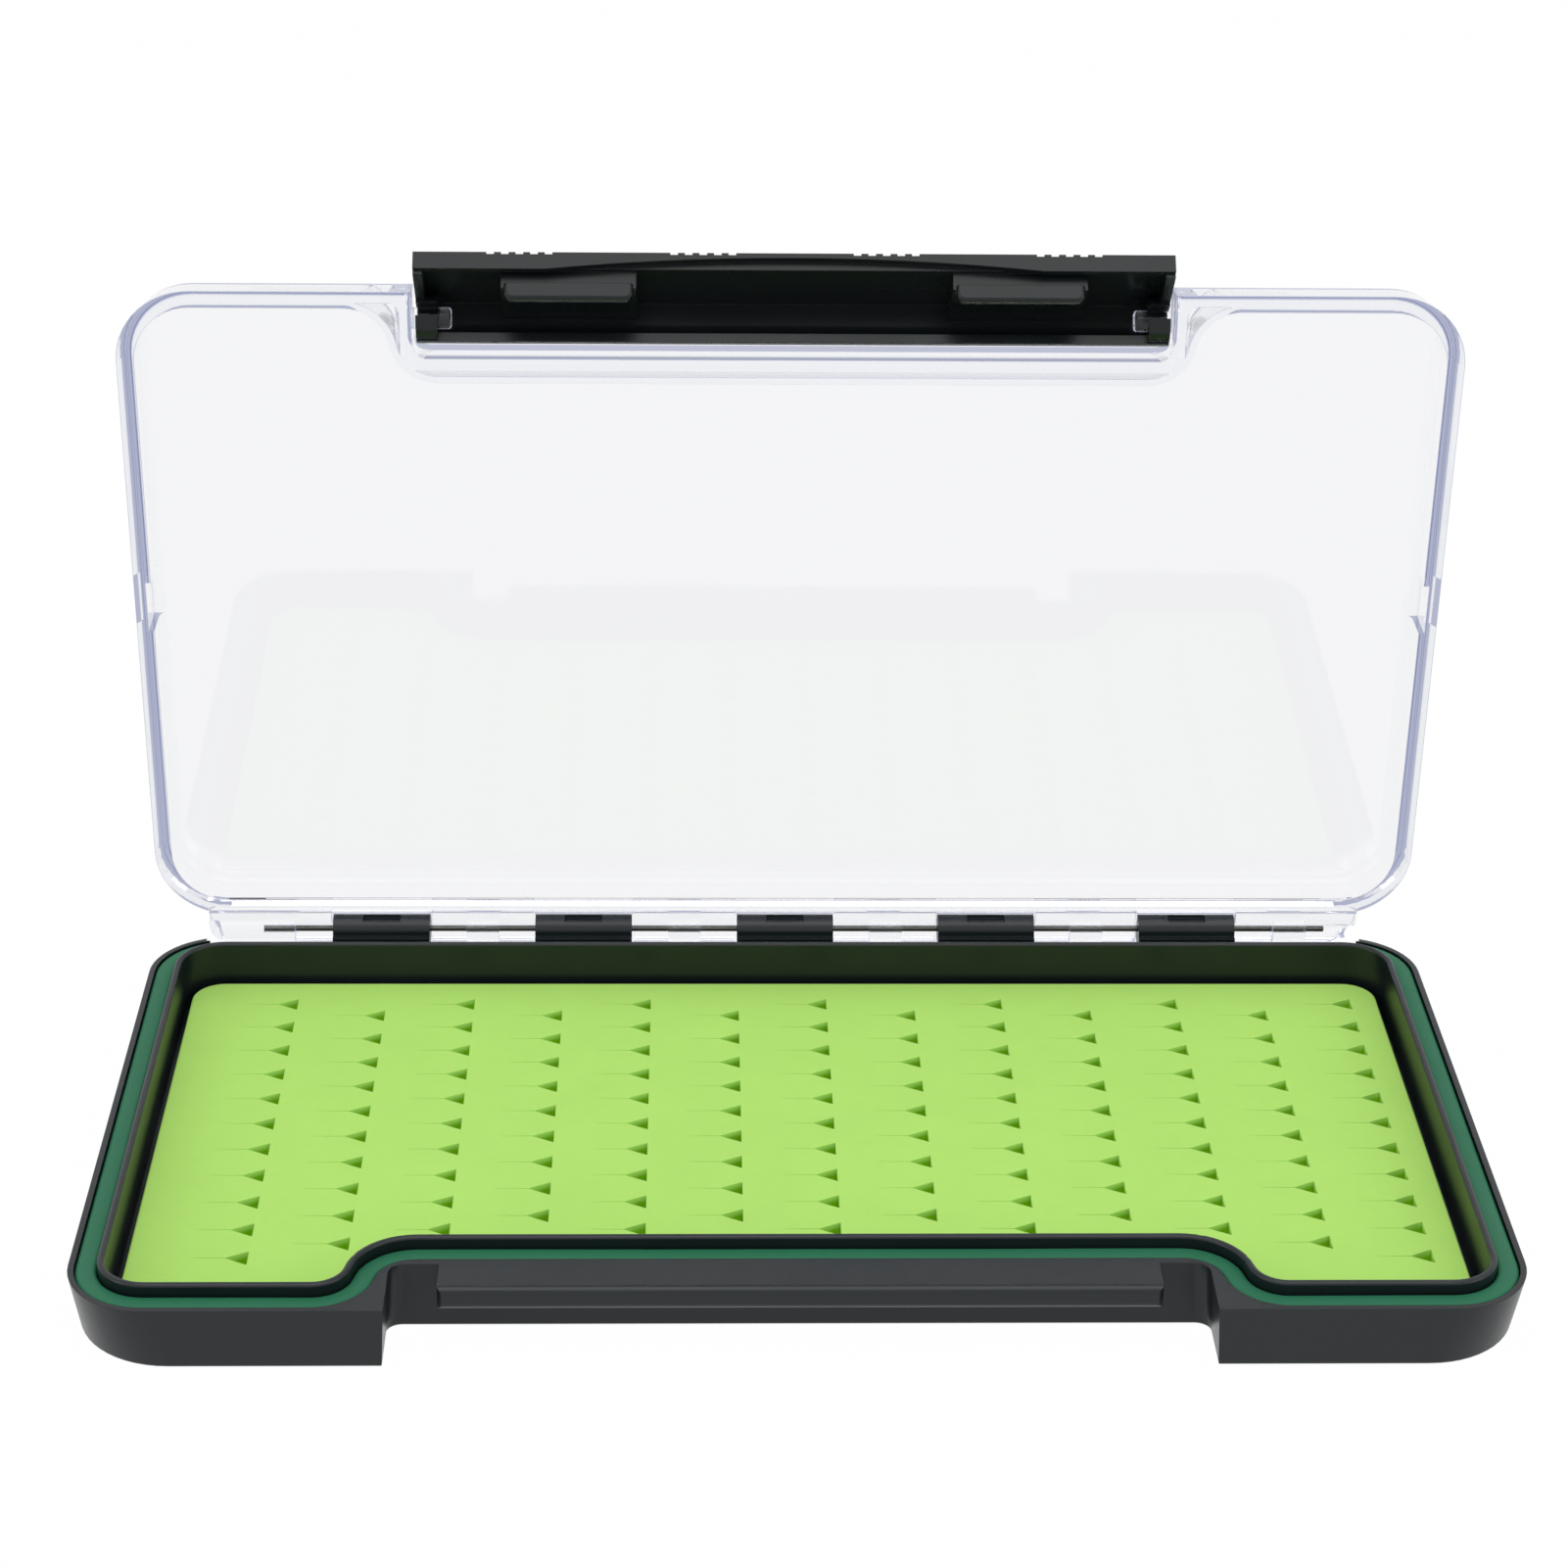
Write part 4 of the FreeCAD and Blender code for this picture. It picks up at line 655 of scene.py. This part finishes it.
def make_seal_ring():
    """Point (u, v) is line(u) + (middle + across(v)) * normal(u), at height(v) plus the slow
    wave along u, all of it sunk a little into the floor of the channel."""
    line, normal = ring_line(arc_steps=10, line_step=3.0)
    profile = seal_profile(steps=5)
    inset = SEAL_MIDDLE + profile[None, :, 0]
    plan = line[:, None, :] + inset[..., None] * normal[:, None, :]
    wave = seal_wave(len(line))[:, None] * (profile[None, :, 1] > SEAL_BOTTOM)
    height = profile[None, :, 1] + wave - SEAL_SINK
    points = np.concatenate([plan, height[..., None]], 2)
    count, around = points.shape[:2]
    numbers = np.arange(count * around).reshape(count, around)
    faces = []
    for step in range(around):
        faces += band_faces(numbers[:, step], numbers[:, (step + 1) % around])
    piece = mesh_piece("seal_ring", points.reshape(-1, 3), faces, seal_rubber)
    piece.data.shade_smooth()
    return piece


seal = make_seal_ring()
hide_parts("seal")
print(f"seal: {SEAL_BOTTOM:.1f} to {SEAL_TOP:.1f} mm up")

# %% [markdown]
# ## Slit sheet
#
# The sheet is lime silicone. A fly's hook is pushed into the wedge-shaped pocket at the right
# of a slit and drawn to the left, and the rubber closes round it. Each pocket is deep at its
# wide end and runs out to nothing in a slit that is only a faint line. The sheet is made in
# three parts that share their points: a rounded rim that follows the ring line, the pockets,
# which all come from one template, and the flat skin between them, which Delaunay
# triangulation fills in.

# %% Slit template
WEDGE_LENGTH = 2.9
WEDGE_HALF = 1.6
SLIT_LENGTH = 5.2
SLIT_HALF = 0.075
POCKET_DEPTH = 1.9
TIP_DEPTH = 0.05
SLIT_DEPTH_SHARE = 0.38
LEAST_LIP_SHARE = 0.25
WEDGE_POINTS = 5
SLIT_POINTS = 6


def slit_template():
    """One pocket and its slit as (x, half width, depth) from the wide end to the tip. The
    width falls in a straight line over the wedge and as a root over the slit. The depth falls
    from full to the slit's share of it over the wedge, and to nothing over the slit."""
    wedge = np.linspace(0, 1, WEDGE_POINTS)
    slit = np.linspace(0, 1, SLIT_POINTS)[1:-1]
    x = np.concatenate([-WEDGE_LENGTH * wedge, -WEDGE_LENGTH - SLIT_LENGTH * slit])
    half = np.concatenate([WEDGE_HALF + (SLIT_HALF - WEDGE_HALF) * wedge,
                           SLIT_HALF * np.sqrt(1 - slit)])
    depth = np.concatenate([POCKET_DEPTH * (1 - (1 - SLIT_DEPTH_SHARE) * wedge),
                            POCKET_DEPTH * SLIT_DEPTH_SHARE * (1 - slit)])
    return x, half, depth


def mitre(outline):
    """Outward offset of one unit for each corner of a closed, counter clockwise outline: the
    sum of its two edge normals over one plus their product."""
    edge = np.roll(outline, -1, 0) - outline
    normal = np.stack([edge[:, 1], -edge[:, 0]], 1)
    normal /= np.linalg.norm(normal, axis=1)[:, None]
    before = np.roll(normal, 1, 0)
    product = (normal * before).sum(1)
    return (normal + before) / (1 + product)[:, None]


x, half, depth = slit_template()
tip = np.array([[-WEDGE_LENGTH - SLIT_LENGTH, 0.0]])
slit_outline = np.concatenate([np.stack([x, half], 1), tip, np.stack([x, -half], 1)[::-1]])
slit_depth = np.concatenate([depth, [TIP_DEPTH], depth[::-1]])
lip_share = np.clip(slit_depth / POCKET_DEPTH, LEAST_LIP_SHARE, 1.0)
slit_lip = lip_share[:, None] * mitre(slit_outline)
print(f"one slit: {len(slit_outline)} points")

# %% [markdown]
# The slits stand in columns, and every second column is half a row further to the front. A
# grid of column and row numbers gives all the places at once.

# %% Places of the slits
COLUMNS, ROWS = 13, 11
COLUMN_START, COLUMN_PITCH = -72.2, 13.0167
ROW_START, ROW_PITCH = 37.4, 6.8
FRONT_LIMIT = -32.3


def slit_places():
    """Wide ends of the slits: the start plus the pitch times the number. A slit that would
    leave the sheet is left out."""
    column, row = np.meshgrid(np.arange(COLUMNS), np.arange(ROWS), indexing="ij")
    x = COLUMN_START + COLUMN_PITCH * column
    y = ROW_START - ROW_PITCH * (row + (column % 2) / 2)
    places = np.stack([x.ravel(), y.ravel()], 1)
    return places[places[:, 1] - WEDGE_HALF / 2 > FRONT_LIMIT]


places = slit_places()
print(f"{len(places)} slits")

# %% [markdown]
# The skin between the slits is filled with triangles. The triangulation also fills the slits
# and the notch round the latch, so each triangle whose middle lies there is taken out again.

# %% Skin between the slits
RIGHT_MARGIN = 0.5
PLACE_TOLERANCE = 0.01
WHOLE_HULL = 0
SAME_POINT = 1e-6


def in_outline(points, outline):
    """Which points lie inside a closed outline: those that see an odd number of its edges
    to their right."""
    a = outline[None]
    b = np.roll(outline, -1, 0)[None]
    px, py = points[:, None, 0], points[:, None, 1]
    crosses = (a[..., 1] > py) != (b[..., 1] > py)
    rise = np.where(b[..., 1] == a[..., 1], 1.0, b[..., 1] - a[..., 1])
    where = a[..., 0] + (py - a[..., 1]) * (b[..., 0] - a[..., 0]) / rise
    return (crosses & (px < where)).sum(1) % 2 == 1


def in_some_slit(points, outline):
    """Which points lie in any slit. Each point is only tested against the slit of its own
    column and row, because the slits' cells don't overlap. A cell ends a margin to the right
    of its slit's wide end."""
    column = np.ceil((points[:, 0] - COLUMN_START - RIGHT_MARGIN) / COLUMN_PITCH)
    shift = (column % 2) / 2
    row = np.round((ROW_START - points[:, 1]) / ROW_PITCH - shift)
    at = np.stack([COLUMN_START + COLUMN_PITCH * column,
                   ROW_START - ROW_PITCH * (row + shift)], 1)
    real = (np.abs(at[:, None] - places[None]).max(2) < PLACE_TOLERANCE).any(1)
    return real & in_outline(points - at, outline)


def fill_skin(rim, lips, outline):
    """Triangles of the flat skin, from the rim to the lips, as numbers into rim then lips."""
    plan = np.concatenate([rim, lips.reshape(-1, 2)])
    loops = [np.arange(len(rim))]
    loops += list(np.arange(len(rim), len(plan)).reshape(len(lips), -1))
    edges = []
    for loop in loops:
        edges += np.stack([loop, np.roll(loop, -1)], 1).tolist()
    made = delaunay_2d_cdt([Vector(p) for p in plan], edges, [], WHOLE_HULL, SAME_POINT)
    numbers = np.array([origin[0] for origin in made[3]])
    triangles = numbers[np.array(made[2])]
    middle = plan[triangles].mean(1)
    keep = in_outline(middle, rim) & ~in_some_slit(middle, outline)
    return triangles[keep]


# %% [markdown]
# The lip of each pocket is a stack of rings that starts flat on the skin and rolls down into
# the wall. A ring is the outline moved out along its mitres, so all rings of a pocket share
# one numbering and the bands between them are plain quads. The rim of the sheet is a stack of
# rings too, from the skin round the upper edge and down to the underside.

# %% Slit sheet
SHEET_BOTTOM = round(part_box("insert")[0][2] / MM, 2)
SHEET_TOP = round(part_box("insert")[1][2] / MM, 2)
SHEET_INSET = round(HALF_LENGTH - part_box("insert")[1][0] / MM, 2)
THICKNESS = SHEET_TOP - SHEET_BOTTOM
RIM_ROUND = 0.3
RIM_RINGS = ((RIM_ROUND, 0.0), (0.15, 0.04), (0.05, 0.14), (0.0, 0.32),
             (0.0, THICKNESS - RIM_ROUND), (0.2, THICKNESS))
LIP_RINGS = ((0.08, 0.0), (0.03, 0.015), (0.008, 0.06), (0.0, 0.14))
LIP_DEPTH_SHARE = 0.8
print(f"sheet: {THICKNESS:.1f} mm thick, {SHEET_INSET:.1f} mm inside the outer line")


def rim_rings(line, normal):
    """Rings of the rim: the line moved in by the sheet's inset and the ring's own, at the
    ring's drop under the top."""
    return [np.column_stack([line + (SHEET_INSET + inset) * normal,
                             np.full(len(line), SHEET_TOP - drop)])
            for inset, drop in RIM_RINGS]


def pocket_rings():
    """Rings of all pockets, each an array of (slit, point, x y z): the lip's rings, and the
    floor's edge straight below the last of them."""
    rings = []
    for out, drop in LIP_RINGS:
        plan = places[:, None] + slit_outline + out * slit_lip
        drops = np.minimum(drop, slit_depth * LIP_DEPTH_SHARE)
        height = np.broadcast_to(SHEET_TOP - drops[None], plan.shape[:2])
        rings.append(np.concatenate([plan, height[..., None]], 2))
    floor = rings[-1].copy()
    floor[..., 2] = SHEET_TOP - slit_depth
    return rings + [floor]


def floor_faces(ring, half_count):
    """The floor of one pocket: quads from side to side, and a triangle at the tip."""
    one, other = ring[:half_count], ring[:half_count:-1]
    quads = np.stack([one[:-1], one[1:], other[1:], other[:-1]], 1).tolist()
    return quads + [[one[-1], ring[half_count], other[-1]]]


def make_slit_sheet():
    """The whole sheet: skin, rim, underside, and the lips, walls and floors of the pockets."""
    line, normal = ring_line(arc_steps=8, line_step=6.0)
    rims = rim_rings(line, normal)
    pockets = pocket_rings()
    count, size = len(line), len(slit_outline)
    rim_numbers = np.arange(len(rims) * count).reshape(len(rims), count)
    start = rim_numbers.size
    slit_numbers = start + np.arange(len(pockets) * len(places) * size)
    slit_numbers = slit_numbers.reshape(len(pockets), len(places), size)
    lip_outline = slit_outline + LIP_RINGS[0][0] * slit_lip
    skin = fill_skin(rims[0][:, :2], pockets[0][..., :2], lip_outline)
    skin = np.where(skin < count, skin, skin - count + start)
    faces = skin.tolist()
    for upper, lower in zip(rim_numbers, rim_numbers[1:]):
        faces += band_faces(upper, lower)
    faces.append(rim_numbers[-1].tolist())
    for upper, lower in zip(slit_numbers, slit_numbers[1:]):
        for first, second in zip(upper, lower):
            faces += band_faces(first, second)
    for ring in slit_numbers[-1]:
        faces += floor_faces(ring, size // 2)
    points = np.concatenate([np.concatenate(rims), np.concatenate(pockets).reshape(-1, 3)])
    piece = mesh_piece("slit_sheet", points, faces, insert_silicone)
    smooth = np.ones(len(piece.data.polygons), bool)
    smooth[:len(skin)] = False
    piece.data.polygons.foreach_set("use_smooth", smooth)
    return piece


sheet = make_slit_sheet()
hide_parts("insert")

# %% [markdown]
# ## Studio
#
# The box stands on white paper under large soft lamps. The world lights it evenly from all
# round. What the camera sees of the floor and the world is white, and so is what shines in
# the plastic and through the lid, because that is how a product is photographed. The floor
# keeps a little of its own shading so that the box still stands on something. It lies a hair
# below the box, because two faces in one plane would show through each other.

# %% World and floor
AMBIENT = 0.62
WHITE = (1.0, 1.0, 1.0, 1.0)
PAPER_WHITE = (0.8, 0.8, 0.8, 1.0)
FLOOR_GLOW = 0.99
FLOOR_HALF = 4.0
FLOOR_GAP = 0.05 * MM


def seen_directly(tree):
    """One for rays from the camera, from gloss or through clear plastic, else zero."""
    ray = add_node(tree, "ShaderNodeLightPath")
    gloss = math_node(tree, "MAXIMUM", ray.outputs["Is Camera Ray"],
                      ray.outputs["Is Glossy Ray"])
    return math_node(tree, "MAXIMUM", gloss, ray.outputs["Is Transmission Ray"])


def make_world():
    """White all round: full strength where it is seen, and ambient where it lights the box."""
    world = bpy.data.worlds.new("studio")
    world.use_nodes = True
    tree = world.node_tree
    sky = tree.nodes["Background"]
    set_sockets(sky, Color=WHITE)
    glow = math_node(tree, "MULTIPLY", seen_directly(tree), 1.0 - AMBIENT)
    tree.links.new(math_node(tree, "ADD", glow, AMBIENT), sky.inputs["Strength"])
    return world


def paper():
    """White paper: mostly glow where it is seen, diffuse white where it lights the box."""
    material, tree, shader, output = new_material("paper")
    set_sockets(shader, Base_Color=PAPER_WHITE, Roughness=1.0, Specular_IOR_Level=0.0)
    bright = add_node(tree, "ShaderNodeEmission")
    glow = math_node(tree, "MULTIPLY", seen_directly(tree), FLOOR_GLOW)
    mix = mix_shaders(tree, glow, shader, bright)
    tree.links.new(mix.outputs[0], output.inputs["Surface"])
    return material


def make_floor():
    """One square of paper, named floor and attached to no body, so that it is no part of the
    box.
    """
    mesh = bpy.data.meshes.new("floor")
    corners = [(-FLOOR_HALF, -FLOOR_HALF, 0), (FLOOR_HALF, -FLOOR_HALF, 0),
               (FLOOR_HALF, FLOOR_HALF, 0), (-FLOOR_HALF, FLOOR_HALF, 0)]
    mesh.from_pydata(corners, [], [(0, 1, 2, 3)])
    mesh.materials.append(paper())
    floor = bpy.data.objects.new("floor", mesh)
    floor.location.z = -FLOOR_GAP
    bpy.context.scene.collection.objects.link(floor)


bpy.context.scene.world = make_world()
make_floor()
print(f"floor: {2 * FLOOR_HALF:.0f} m square")

# %% [markdown]
# Three area lamps shape the box: a large one overhead and slightly in front, and one at each
# side. They are big compared with the box, so their edges never show as hard lines.

# %% Lamps
LAMP_AIM = Vector((0.0, 0.0, 0.03))
LAMPS = {
    "top_lamp": {"place": (0.0, -0.25, 1.1), "size": 0.9, "power": 4.2},
    "left_lamp": {"place": (-1.1, -0.5, 0.5), "size": 0.6, "power": 1.6},
    "right_lamp": {"place": (1.1, -0.5, 0.5), "size": 0.6, "power": 1.6},
}


def area_lamp(name, place, size, power):
    """A square lamp that looks at the middle of the box."""
    light = bpy.data.lights.new(name, "AREA")
    light.shape = "SQUARE"
    light.size = size
    light.energy = power
    lamp = bpy.data.objects.new(name, light)
    lamp.location = place
    lamp.rotation_mode = "QUATERNION"
    lamp.rotation_quaternion = (LAMP_AIM - lamp.location).to_track_quat("-Z", "Y")
    bpy.context.scene.collection.objects.link(lamp)


for label, facts in LAMPS.items():
    area_lamp(label, **facts)
    print(f"{label}: {facts['power']} W")
